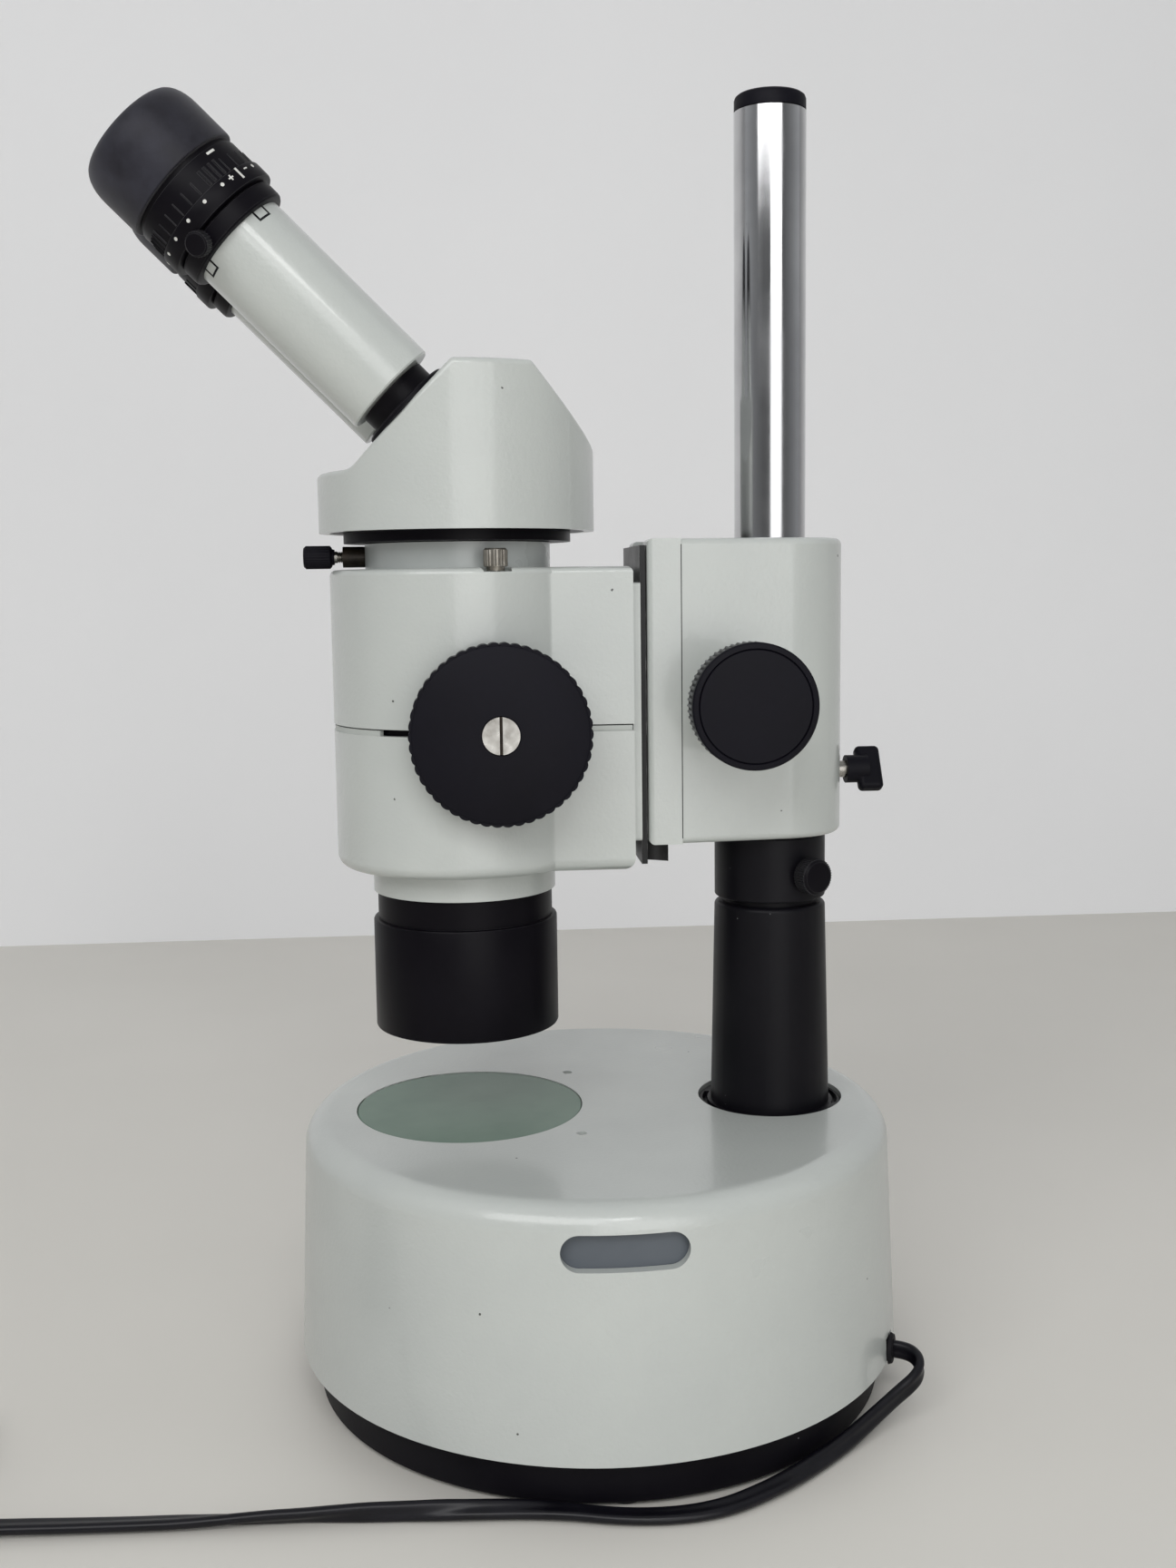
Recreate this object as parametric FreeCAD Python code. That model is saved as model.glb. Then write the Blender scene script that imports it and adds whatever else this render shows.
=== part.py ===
"""Stereo zoom microscope on a round transmitted-light base, built piece by piece.

Units are millimetres.  The origin is the centre of the base on the table, +Z is up, the user
sits on the -Y side and +X is the user's right hand.
"""
import FreeCAD
import Part
import math
import os

V = FreeCAD.Vector
UP = V(0, 0, 1)
RIGHT = V(1, 0, 0)
BACK = V(0, 1, 0)

# ---- fits -------------------------------------------------------------------------------------
FIT = 0.05            # radial clearance of a shaft that turns or slides in its hole
SLIP = 0.3            # clearance between bodies that move past each other
PILLAR_FIT = 0.08     # radial clearance of the pieces that slide on the column

# ---- base -------------------------------------------------------------------------------------
BASE_LOW_R = 108.2
BASE_TOP_R = 104.8
BASE_HEIGHT = 98.8
BASE_EDGE_ROUND = 9.0
BASE_INNER_ROUND = 6.0
BASE_WALL = 3.5
BASE_ROOF = 4.0
SKIRT_Z = 17.0
PAN_R = 102.0
PAN_BORE_R = 86.0
PAN_FLOOR = 4.0
PAN_TOP = 21.5
FOOT_STAND = 1.5
FOOT_SINK = 1.5
FOOT_R = 7.0
FOOT_CIRCLE_R = 93.0
BASE_SCREW_CIRCLE_R = 95.5
BASE_SCREW_R = 2.0
BASE_SCREW_HEAD_R = 4.0
BASE_SCREW_HEAD_LENGTH = 3.0
BASE_SCREW_BITE = 14.0
BOSS_R = 5.0
VENT_Z = 84.4
VENT_LENGTH = 40.2
VENT_HEIGHT = 11.7
LINING_GAP = 0.2
LINING_THICKNESS = 1.2
LINING_MARGIN = 5.0
CLIP_HOLE_R = 1.8
CLIP_HOLE_DEPTH = 3.2
CLIP_HOLE_SPACING = 71.2
CLIP_HOLE_Y = -8.0

# ---- stage and light path ---------------------------------------------------------------------
OPTIC_Y = -46.0
STAGE_R = 40.6
STAGE_THICKNESS = 5.0
STAGE_SINK = 0.2
STAGE_LEDGE = 3.4
STAGE_SEAT = 4.0
MIRROR_WIDTH = 60.0
MIRROR_LENGTH = 66.0
MIRROR_THICKNESS = 3.0
MIRROR_Z = 44.0
LAMP_Y = 20.0
LAMP_SOCKET_R = 13.0
LAMP_SOCKET_LENGTH = 18.0
BULB_R = 8.0
BULB_NECK_R = 5.0
BULB_NECK_LENGTH = 9.0

# ---- column -----------------------------------------------------------------------------------
COLUMN_Y = 64.4
COLUMN_R = 12.5
COLUMN_WALL = 3.5
COLUMN_LOW_Z = 40.0
COLUMN_TOP_Z = 447.0
CAP_HEIGHT = 5.4
CAP_R = 12.4
CAP_PLUG_LENGTH = 12.0
FLANGE_R = 26.0
FLANGE_RIM = 4.0
FLANGE_SINK = 1.2
FLANGE_LIP = 6.0
POST_R = 19.0
FLANGE_SLOT_R = 23.8
FLANGE_SLOT_WIDTH = 1.8
FLANGE_SLOT_DEPTH = 2.0
FLANGE_SLOT_HALF_ANGLE = 24.0
SLEEVE_LOW_R = 21.6
SLEEVE_TOP_R = 19.95
SLEEVE_TOP_Z = 172.0
SLEEVE_STEP = 1.4
SLEEVE_STEP_HEIGHT = 1.6
COLLAR_GAP = 0.4
COLLAR_R = 19.9
COLLAR_HEIGHT = 23.0
COLLAR_SCREW_Z = 183.9
COLLAR_SCREW_ANGLE = 27.0
COLLAR_SCREW_R = 3.0
COLLAR_HEAD_R = 6.45
COLLAR_HEAD_LENGTH = 6.8
COLLAR_HEAD_GAP = 1.3

# ---- focus drive ------------------------------------------------------------------------------
DRIVE_GAP = 0.6
DRIVE_HEIGHT = 104.0
DRIVE_REAR_R = 25.1
DRIVE_HALF_WIDTH = 29.0
DRIVE_EDGE_ROUND = 2.5
DRIVE_FLOOR = 3.0
PLATE_FRONT_Y = 17.2
PLATE_BACK_Y = 28.7
PLATE_ROUND = 2.0
TAIL_MOUTH = 17.0
TAIL_FLOOR = 21.5
TAIL_DEPTH = 7.6
TAIL_CLEARANCE = 0.15
PINION_Y = 47.4
PINION_Z = 247.2
PINION_SHAFT_R = 3.5
PINION_TEETH = 15
GEAR_MODULE = 1.0
GEAR_BACKLASH = 0.3
RACK_X = 14.8
RACK_WIDTH = 6.0
RACK_LENGTH = 55.0
RACK_SLOT_MARGIN = 0.6
FOCUS_DOWN = 20.0
FOCUS_UP = 25.0
BEARING_BOSS_R = 11.0
BEARING_BOSS_X = 44.7
KNOB_HUB_R = 9.0
FOCUS_KNOB_R = 20.6
FOCUS_KNOB_BACK_X = 53.2
FOCUS_KNOB_FACE_X = 67.0
FOCUS_KNOB_ROUND = 1.6
WING_Z = 219.0
WING_SHANK_R = 3.0
WING_GAP = 2.6
WING_HUB_R = 5.0
WING_HUB_LENGTH = 8.0
WING_SPAN = 17.0
WING_THICKNESS = 5.0
WING_DEPTH = 9.0
WING_TILT = 32.0

# ---- carriage and bracket ---------------------------------------------------------------------
BODY_REAR_Y = 12.1
BRACKET_THICKNESS = 2.8
BRACKET_HALF_WIDTH = 28.0
BRACKET_LOW_Z = 199.0
BRACKET_TOP_Z = 287.0
CARRIAGE_THICKNESS = 2.0
CARRIAGE_HALF_WIDTH = 26.0
CARRIAGE_LOW_Z = 190.6
CARRIAGE_TOP_Z = 299.5

# ---- zoom body --------------------------------------------------------------------------------
BODY_R = 44.5
BODY_BLOCK_HALF_WIDTH = 32.0
BODY_LOW_Z = 189.3
BODY_TOP_Z = 292.5
SEAM_LOW_Z = 237.4
SEAM_TOP_Z = 239.7
BODY_WALL = 3.0
BODY_TOP_ROUND = 2.2
BODY_LOW_ROUND = 4.5
LIGHT_BORE_R = 24.0
CHASSIS_INSET = 3.3
CHASSIS_WALL = 2.5
GUIDE_ROD_R = 2.0
GUIDE_FRONT = 15.0
GUIDE_REAR = 24.0
ZOOM_Y = -33.6
ZOOM_Z = 238.7
ZOOM_SHAFT_R = 3.0
ZOOM_CAM_R = 6.0
ZOOM_CAM_LENGTH = 16.0
ZOOM_HOLE_R = 9.0
ZOOM_KNOB_R = 29.8
ZOOM_KNOB_BACK_X = 46.2
ZOOM_KNOB_FACE_X = 57.0
ZOOM_KNOB_ROUND = 2.2
ZOOM_HUB_R = 8.0
ZOOM_HUB_LENGTH = 4.0
KNOB_SCREW_R = 6.1
KNOB_SCREW_SINK = 0.8
KNOB_SCREW_LENGTH = 3.6
KNOB_SCREW_SLOT = 1.0
CHANNEL_X = 12.0
LENS_BARREL_R = 9.5
LENS_BARREL_LENGTH = 10.0
LENS_BORE_R = 8.0
LENS_PLATE = 3.0
LENS_GLASS = 3.0
UPPER_LENS_Z = 256.0
LOWER_LENS_Z = 212.0
COLLAR_BELOW_R = 32.3
COLLAR_BELOW_Z = 180.0

# ---- objective --------------------------------------------------------------------------------
OBJECTIVE_R = 32.7
OBJECTIVE_NECK_R = 31.0
OBJECTIVE_SHOULDER_Z = 170.0
OBJECTIVE_FRONT_Z = 130.7
OBJECTIVE_MOUTH_R = 28.0
OBJECTIVE_MOUTH_DEPTH = 7.0
OBJECTIVE_BORE_R = 24.0
OBJECTIVE_LENS_LENGTH = 16.0
OBJECTIVE_THREAD_R = 23.9
OBJECTIVE_THREAD_LENGTH = 6.0

# ---- head -------------------------------------------------------------------------------------
RING_R = 32.2
RING_BORE_R = 26.0
RING_TOP_Z = 301.2
DISC_R = 39.4
DISC_LOW_Z = 301.5
DISC_BORE_R = 20.0
DISC_SPIGOT_LENGTH = 5.0
HEAD_FLOOR = 3.0
HEAD_LOW_Z = 305.0
HEAD_R = 47.7
HEAD_TOP_Z = 358.8
HEAD_LEDGE_Z = 325.0
HEAD_SLOPE = 254.3    # distance of the sloping face from the optical axis at table height, along the tubes
HEAD_TOP_REAR = 24.6
HEAD_REAR_Z = 332.0
HEAD_WALL = 3.5
HEAD_EDGE_ROUND = 2.0
HEAD_LEDGE_ROUND = 6.0
CLAMP_Z = 297.0
CLAMP_STEM_R = 2.0
CLAMP_SLEEVE_R = 3.6
CLAMP_SLEEVE_LENGTH = 7.6
CLAMP_HEAD_R = 4.0
CLAMP_HEAD_LENGTH = 10.6
CLAMP_HEAD_GAP = 2.9
TOP_SCREW_X = 40.0
TOP_SCREW_Y = -33.9
TOP_SCREW_R = 4.0
TOP_SCREW_LENGTH = 7.3
TOP_SCREW_STEM_R = 1.6
TOP_SCREW_STEM_LENGTH = 5.0
TOP_SCREW_RECESS_R = 5.3
TOP_SCREW_RECESS = 1.4
PRISM_SIZE = 20.0
PRISM_HEIGHT = 30.0
PRISM_GAP = 6.0

# ---- eyepiece tubes (u is measured along the tube from the sloping face) -----------------------
EYE_X = 32.5          # half the eye distance at rest
NECK_OFFSET = 3.6     # each tube turns about its neck, which sits this far inside its own axis
TUBE_HEIGHT = 233.06  # of the tubes' axes above the foot of the optical axis, square to the tubes
NECK_FLANGE_R = 16.3
NECK_FLANGE = 1.7
TUBE_R = 16.5
TUBE_WALL = 1.9
JOURNAL_MARGIN = 1.0
JOURNAL_R = TUBE_R - NECK_OFFSET - JOURNAL_MARGIN
NECK_STEP = 0.8
NECK_R = JOURNAL_R + NECK_STEP
NECK_WALL = 2.4
NECK_BORE_R = JOURNAL_R - NECK_WALL
NECK_TOP_U = 17.0
TUBE_LOW_U = 7.7
TUBE_TOP_U = 70.7
TUBE_END_PLATE = 2.0
CLAMP_RING_WALL = 3.4
CLAMP_RING_R = TUBE_R + CLAMP_RING_WALL
CLAMP_RING_LIP = 0.9
CLAMP_RING_LOW_R = TUBE_R + CLAMP_RING_LIP
CLAMP_RING_LAP = 1.0
CLAMP_RING_TOP_U = 80.0
LOCK_SCREW_U = 77.4
LOCK_SCREW_ANGLE = -27.0
LOCK_STEM_R = 1.6
LOCK_HEAD_R = 4.0
LOCK_HEAD_LENGTH = 4.2
EYEPIECE_FIT = 0.1
EYEPIECE_BARREL_R = TUBE_R - TUBE_WALL - EYEPIECE_FIT
EYEPIECE_BARREL_LENGTH = 24.0
EYEPIECE_WALL = 2.0
EYEPIECE_BORE_R = EYEPIECE_BARREL_R - EYEPIECE_WALL
DIOPTER_R = 21.2
DIOPTER_LOW_U = 80.3
DIOPTER_STEP_U = 86.2
DIOPTER_RIB_R = 20.8
DIOPTER_RIB_TOP_U = 96.0
DIOPTER_NECK_R = 19.5
DIOPTER_TOP_U = 97.6
EYECUP_R = 21.3
EYECUP_TOP_R = 16.4
EYECUP_TOP_U = 121.0
EYECUP_ROUND = 6.0
EYECUP_WALL = 5.0
EYE_LENS_FIT = 0.1
EYE_LENS_R = EYEPIECE_BORE_R - EYE_LENS_FIT
EYE_LENS_LOW_U = 100.0
EYE_LENS_THICKNESS = 5.0

# ---- lead -------------------------------------------------------------------------------------
LEAD_WIDTH = 6.3
LEAD_Z = 3.2
LEAD_FIRST_RUN = 4.6
GLAND_ANGLE = 65.2
GLAND_Z = 20.0
GLAND_R = 4.4
GLAND_FLANGE_R = 5.4
GLAND_FLANGE = 1.2
GLAND_OUT = 1.6
NOTCH_HALF_WIDTH = 4.7
NOTCH_TOP_Z = 25.0
COIL_X = 62.0
COIL_Y = -247.0
COIL_INNER_R = 26.0
COIL_OUTER_R = 38.0
COIL_HEIGHT = 13.1
COIL_ENTRY = 25.0
COIL_ENTRY_X = 97.6
PLUG_LENGTH = 30.0
PLUG_WIDTH = 26.0
PLUG_THICKNESS = 12.0
PLUG_X = 57.0
PLUG_Y = -279.0
PLUG_PIN_R = 2.0
PLUG_PIN_LENGTH = 18.0
PLUG_PIN_SPACING = 19.0

# ---- worked out once --------------------------------------------------------------------------
ROOF_UNDER_Z = BASE_HEIGHT - BASE_ROOF
PAN_FLOOR_Z = FOOT_STAND + PAN_FLOOR
FLANGE_TOP_Z = BASE_HEIGHT - FLANGE_SINK
COLUMN_BORE_R = COLUMN_R + PILLAR_FIT
COLLAR_LOW_Z = SLEEVE_TOP_Z + SLEEVE_STEP_HEIGHT + COLLAR_GAP
DRIVE_LOW_Z = COLLAR_LOW_Z + COLLAR_HEIGHT + DRIVE_GAP
DRIVE_TOP_Z = DRIVE_LOW_Z + DRIVE_HEIGHT
COLUMN_AXIS = V(0, COLUMN_Y, 0)
OPTIC_AXIS = V(0, OPTIC_Y, 0)
BRACKET_BACK_Y = BODY_REAR_Y + BRACKET_THICKNESS
CARRIAGE_BACK_Y = BRACKET_BACK_Y + CARRIAGE_THICKNESS
TUBE_DIRECTION = V(0, -1, 1).normalize()
TUBE_ACROSS = V(0, 1, 1).normalize()


# ---- small helpers ----------------------------------------------------------------------------
def drum(radius, low, high, centre=V(0, 0, 0)):
    """Upright cylinder between two heights, about the axis through centre."""
    return Part.makeCylinder(radius, high - low, V(centre.x, centre.y, low), UP)


def washer(outer, inner, low, high, centre=V(0, 0, 0)):
    """Upright ring."""
    return drum(outer, low, high, centre).cut(drum(inner, low, high, centre))


def block(x, y, z):
    """Box from three (low, high) pairs."""
    return Part.makeBox(x[1] - x[0], y[1] - y[0], z[1] - z[0], V(x[0], y[0], z[0]))


def rod(radius, start, end):
    """Cylinder from one point to another."""
    way = end - start
    return Part.makeCylinder(radius, way.Length, start, way)


def turned(profile, foot, direction):
    """Solid of revolution: profile is a closed list of (radius, distance along direction)."""
    corners = [V(radius, 0, along) for radius, along in profile]
    face = Part.Face(Part.makePolygon(corners + corners[:1]))
    solid = face.revolve(V(0, 0, 0), UP, 360)
    solid.Placement = FreeCAD.Placement(foot, FreeCAD.Rotation(UP, direction))
    return solid


def upright(outline, low, high):
    """Prism over a flat outline made of edges at height 0."""
    face = Part.Face(Part.Wire(outline))
    solid = face.extrude(V(0, 0, high - low))
    solid.translate(V(0, 0, low))
    return solid


def rounded(shape, radius, picked):
    """Round the edges that picked(edge) accepts."""
    edges = [edge for edge in shape.Edges if picked(edge)]
    return shape.makeFillet(radius, edges)


def flat_at(height):
    """Test for an edge that lies in the horizontal plane at that height."""
    def test(edge):
        box = edge.BoundBox
        return abs(box.ZMin - height) < 0.01 and abs(box.ZMax - height) < 0.01
    return test


def both_sides(make):
    """A group of two separate solids, one for each side."""
    return Part.makeCompound([make(1), make(-1)])


def radial(angle, distance, height, centre=V(0, 0, 0)):
    """Point at an angle, in degrees from +X, and a distance from an upright axis."""
    turn = math.radians(angle)
    return V(centre.x + distance * math.cos(turn), centre.y + distance * math.sin(turn), height)


# ---- base -------------------------------------------------------------------------------------
def base_shell(wall, roof, edge_round):
    """Conical drum of the base, inset by a wall and a roof thickness."""
    high = BASE_HEIGHT - roof
    cone = Part.makeCone(BASE_LOW_R - wall, BASE_TOP_R - wall, high - SKIRT_Z, V(0, 0, SKIRT_Z))
    return rounded(cone, edge_round, flat_at(high))


def stadium(length, height, depth, middle_z, side):
    """Upright slot cutter that lies along Y and cuts through the wall on one side."""
    straight = (length - height) / 2
    start = side * (BASE_TOP_R - depth)
    end = side * (BASE_LOW_R + 1)
    cutter = block(sorted((start, end)), (-straight, straight),
                   (middle_z - height / 2, middle_z + height / 2))
    for y in (-straight, straight):
        cutter = cutter.fuse(rod(height / 2, V(start, y, middle_z), V(end, y, middle_z)))
    return cutter


def base_screw_places():
    return [radial(45 + 90 * turn, BASE_SCREW_CIRCLE_R, 0) for turn in range(4)]


def base_housing():
    """Painted casting: conical wall, flat roof, screw bosses, stage seat and openings."""
    shell = base_shell(0, 0, BASE_EDGE_ROUND).cut(base_shell(BASE_WALL, BASE_ROOF, BASE_INNER_ROUND))
    seat_low = BASE_HEIGHT - STAGE_SINK - STAGE_THICKNESS - STAGE_SEAT
    shell = shell.fuse(washer(STAGE_R + 5, STAGE_R - STAGE_LEDGE, seat_low, ROOF_UNDER_Z, OPTIC_AXIS))
    for place in base_screw_places():
        shell = shell.fuse(drum(BOSS_R, PAN_TOP, ROOF_UNDER_Z, place))
        shell = shell.cut(drum(BASE_SCREW_R, PAN_TOP, PAN_TOP + BASE_SCREW_BITE + 1, place))
    stage_low = BASE_HEIGHT - STAGE_SINK - STAGE_THICKNESS
    shell = shell.cut(drum(STAGE_R + SLIP, stage_low, BASE_HEIGHT, OPTIC_AXIS))
    shell = shell.cut(drum(STAGE_R - STAGE_LEDGE, seat_low, BASE_HEIGHT, OPTIC_AXIS))
    shell = shell.cut(drum(FLANGE_R + SLIP, ROOF_UNDER_Z, BASE_HEIGHT, COLUMN_AXIS))
    for side in (1, -1):
        shell = shell.cut(stadium(VENT_LENGTH, VENT_HEIGHT, 2 * BASE_WALL, VENT_Z, side))
        place = V(side * CLIP_HOLE_SPACING / 2, CLIP_HOLE_Y, 0)
        shell = shell.cut(drum(CLIP_HOLE_R, BASE_HEIGHT - CLIP_HOLE_DEPTH, BASE_HEIGHT, place))
    notch = block((BASE_TOP_R - 2 * BASE_WALL, BASE_LOW_R + 1), (-NOTCH_HALF_WIDTH, NOTCH_HALF_WIDTH),
                  (SKIRT_Z, NOTCH_TOP_Z))
    notch.rotate(V(0, 0, 0), UP, GLAND_ANGLE)
    return shell.cut(notch)


def base_plate():
    """Black pan with a heavy rim that closes the base from below."""
    pan = drum(PAN_R, FOOT_STAND, PAN_TOP)
    pan = rounded(pan, 1.0, flat_at(FOOT_STAND))
    pan = pan.cut(drum(PAN_BORE_R, PAN_FLOOR_Z, PAN_TOP))
    for turn in range(4):
        pan = pan.cut(drum(FOOT_R + 0.2, FOOT_STAND, FOOT_STAND + FOOT_SINK,
                           radial(90 * turn, FOOT_CIRCLE_R, 0)))
    for place in base_screw_places():
        pan = pan.cut(drum(BASE_SCREW_R + 0.3, FOOT_STAND, PAN_TOP, place))
        pan = pan.cut(drum(BASE_SCREW_HEAD_R + 0.3, FOOT_STAND, PAN_FLOOR_Z, place))
    inside = radial(GLAND_ANGLE, PAN_BORE_R - 1, GLAND_Z)
    outside = radial(GLAND_ANGLE, PAN_R + 1, GLAND_Z)
    return pan.cut(rod(GLAND_R + 0.1, inside, outside))


def rubber_feet():
    feet = []
    for turn in range(4):
        foot = drum(FOOT_R, 0, FOOT_STAND + FOOT_SINK, radial(90 * turn, FOOT_CIRCLE_R, 0))
        feet.append(rounded(foot, 0.5, flat_at(0)))
    return Part.makeCompound(feet)


def base_screws():
    screws = []
    for place in base_screw_places():
        head_low = PAN_FLOOR_Z - BASE_SCREW_HEAD_LENGTH
        head = drum(BASE_SCREW_HEAD_R, head_low, PAN_FLOOR_Z, place)
        stem = drum(BASE_SCREW_R - FIT, PAN_FLOOR_Z, PAN_TOP + BASE_SCREW_BITE, place)
        slot = block((place.x - 5, place.x + 5), (place.y - 0.5, place.y + 0.5), (head_low, head_low + 1))
        screws.append(head.fuse(stem).cut(slot))
    return Part.makeCompound(screws)


def vent_lining():
    """Curved sheet behind each side slot, glued inside the wall."""
    outer = base_shell(BASE_WALL + LINING_GAP, BASE_ROOF + LINING_GAP, BASE_INNER_ROUND)
    inner = base_shell(BASE_WALL + LINING_GAP + LINING_THICKNESS, BASE_ROOF + LINING_GAP, BASE_INNER_ROUND)
    sheet = outer.cut(inner)
    reach = VENT_LENGTH / 2 + LINING_MARGIN
    top = min(VENT_Z + VENT_HEIGHT / 2 + LINING_MARGIN, ROOF_UNDER_Z - BASE_INNER_ROUND / 2)

    def one(side):
        keep = block(sorted((BASE_TOP_R / 2 * side, BASE_LOW_R * side)), (-reach, reach),
                     (VENT_Z - VENT_HEIGHT / 2 - LINING_MARGIN, top))
        return sheet.common(keep)
    return both_sides(one)


def stage_glass():
    top = BASE_HEIGHT - STAGE_SINK
    plate = drum(STAGE_R, top - STAGE_THICKNESS, top, OPTIC_AXIS)
    return rounded(plate, 0.4, flat_at(top))


def mirror():
    """Silvered plate that turns the lamp's level beam upwards."""
    plate = block((-MIRROR_WIDTH / 2, MIRROR_WIDTH / 2), (-MIRROR_LENGTH / 2, MIRROR_LENGTH / 2),
                  (0, MIRROR_THICKNESS))
    plate.rotate(V(0, 0, 0), RIGHT, -45)
    plate.translate(V(0, OPTIC_Y, MIRROR_Z))
    return plate


def mirror_bracket():
    """Wedge-shaped support that carries the mirror from the pan's floor."""
    reach = MIRROR_LENGTH / 2 * math.sqrt(0.5)
    cheeks = []
    for x in (-MIRROR_WIDTH / 2 + 4, MIRROR_WIDTH / 2 - 8):
        corners = [V(x, OPTIC_Y - reach, PAN_FLOOR_Z), V(x, OPTIC_Y - reach, MIRROR_Z + reach),
                   V(x, OPTIC_Y + reach, MIRROR_Z - reach), V(x, OPTIC_Y + reach, PAN_FLOOR_Z)]
        face = Part.Face(Part.makePolygon(corners + corners[:1]))
        cheeks.append(face.extrude(V(4, 0, 0)))
    foot = block((-MIRROR_WIDTH / 2, MIRROR_WIDTH / 2), (OPTIC_Y - reach, OPTIC_Y + reach),
                 (PAN_FLOOR_Z, PAN_FLOOR_Z + 3))
    return foot.fuse(cheeks)


def lamp_socket():
    """Lamp holder on its post, in line with the mirror."""
    start = V(0, LAMP_Y, MIRROR_Z)
    holder = rod(LAMP_SOCKET_R, start, start + BACK * LAMP_SOCKET_LENGTH)
    post = block((-9, 9), (LAMP_Y + 3, LAMP_Y + LAMP_SOCKET_LENGTH - 3), (PAN_FLOOR_Z, MIRROR_Z))
    foot = block((-16, 16), (LAMP_Y, LAMP_Y + LAMP_SOCKET_LENGTH), (PAN_FLOOR_Z, PAN_FLOOR_Z + 3))
    socket = rod(BULB_NECK_R + FIT, start, start + BACK * 10)
    return holder.fuse([post, foot]).cut(socket)


def lamp_bulb():
    start = V(0, LAMP_Y + 9, MIRROR_Z)
    neck = rod(BULB_NECK_R, start, start - BACK * (9 + BULB_NECK_LENGTH))
    ball = Part.makeSphere(BULB_R, V(0, LAMP_Y - BULB_NECK_LENGTH - 3, MIRROR_Z))
    return neck.fuse(ball)


# ---- column -----------------------------------------------------------------------------------
def pillar_foot():
    """Cast post inside the base, with the flange that shows round the sleeve."""
    foot = drum(POST_R, PAN_FLOOR_Z, ROOF_UNDER_Z, COLUMN_AXIS)
    foot = foot.fuse(drum(FLANGE_R + FLANGE_RIM, ROOF_UNDER_Z - FLANGE_LIP, ROOF_UNDER_Z, COLUMN_AXIS))
    disc = drum(FLANGE_R, ROOF_UNDER_Z, FLANGE_TOP_Z, COLUMN_AXIS)
    foot = foot.fuse(rounded(disc, 0.6, flat_at(FLANGE_TOP_Z)))
    foot = foot.cut(drum(COLUMN_R + FIT, COLUMN_LOW_Z, FLANGE_TOP_Z, COLUMN_AXIS))
    slot = washer(FLANGE_SLOT_R + FLANGE_SLOT_WIDTH / 2, FLANGE_SLOT_R - FLANGE_SLOT_WIDTH / 2,
                  FLANGE_TOP_Z - FLANGE_SLOT_DEPTH, FLANGE_TOP_Z, COLUMN_AXIS)
    reach = FLANGE_SLOT_R * math.sin(math.radians(FLANGE_SLOT_HALF_ANGLE))
    for side in (1, -1):
        keep = block((-reach, reach), sorted((COLUMN_Y, COLUMN_Y + side * FLANGE_R)),
                     (ROOF_UNDER_Z, FLANGE_TOP_Z))
        foot = foot.cut(slot.common(keep))
    return foot


def pillar_sleeve():
    """Tapered black sleeve that stands on the flange and steadies the column."""
    cone = Part.makeCone(SLEEVE_LOW_R, SLEEVE_TOP_R, SLEEVE_TOP_Z - FLANGE_TOP_Z,
                         V(0, COLUMN_Y, FLANGE_TOP_Z))
    cone = rounded(cone, 1.6, flat_at(SLEEVE_TOP_Z))
    step = drum(SLEEVE_TOP_R - SLEEVE_STEP - 1.6, SLEEVE_TOP_Z - 3, SLEEVE_TOP_Z + SLEEVE_STEP_HEIGHT,
                COLUMN_AXIS)
    bore = drum(COLUMN_R + FIT, FLANGE_TOP_Z, SLEEVE_TOP_Z + SLEEVE_STEP_HEIGHT, COLUMN_AXIS)
    return cone.fuse(step).cut(bore)


def column():
    tube = drum(COLUMN_R, COLUMN_LOW_Z, COLUMN_TOP_Z, COLUMN_AXIS)
    return tube.cut(drum(COLUMN_R - COLUMN_WALL, COLUMN_LOW_Z, COLUMN_TOP_Z, COLUMN_AXIS))


def column_cap():
    head = drum(CAP_R, COLUMN_TOP_Z, COLUMN_TOP_Z + CAP_HEIGHT, COLUMN_AXIS)
    head = rounded(head, 2.0, flat_at(COLUMN_TOP_Z + CAP_HEIGHT))
    plug = drum(COLUMN_R - COLUMN_WALL - FIT, COLUMN_TOP_Z - CAP_PLUG_LENGTH, COLUMN_TOP_Z, COLUMN_AXIS)
    return head.fuse(plug)


def stop_collar():
    """Ring that the drive rests on, clamped at the working height."""
    top = COLLAR_LOW_Z + COLLAR_HEIGHT
    ring = drum(COLLAR_R, COLLAR_LOW_Z, top, COLUMN_AXIS)
    ring = rounded(ring, 0.8, lambda edge: flat_at(COLLAR_LOW_Z)(edge) or flat_at(top)(edge))
    ring = ring.cut(drum(COLUMN_BORE_R, COLLAR_LOW_Z, top, COLUMN_AXIS))
    start = radial(COLLAR_SCREW_ANGLE, 0, COLLAR_SCREW_Z, COLUMN_AXIS)
    end = radial(COLLAR_SCREW_ANGLE, COLLAR_R + 1, COLLAR_SCREW_Z, COLUMN_AXIS)
    return ring.cut(rod(COLLAR_SCREW_R + FIT, start, end))


def collar_screw():
    def at(distance):
        return radial(COLLAR_SCREW_ANGLE, distance, COLLAR_SCREW_Z, COLUMN_AXIS)
    head_low = COLLAR_R + COLLAR_HEAD_GAP
    stem = rod(COLLAR_SCREW_R, at(COLUMN_R + SLIP), at(head_low))
    head = rod(COLLAR_HEAD_R, at(head_low), at(head_low + COLLAR_HEAD_LENGTH))
    head = head.makeFillet(0.6, [edge for edge in head.Edges if edge.Curve.TypeId == "Part::GeomCircle"])
    return stem.fuse(head)


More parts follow.
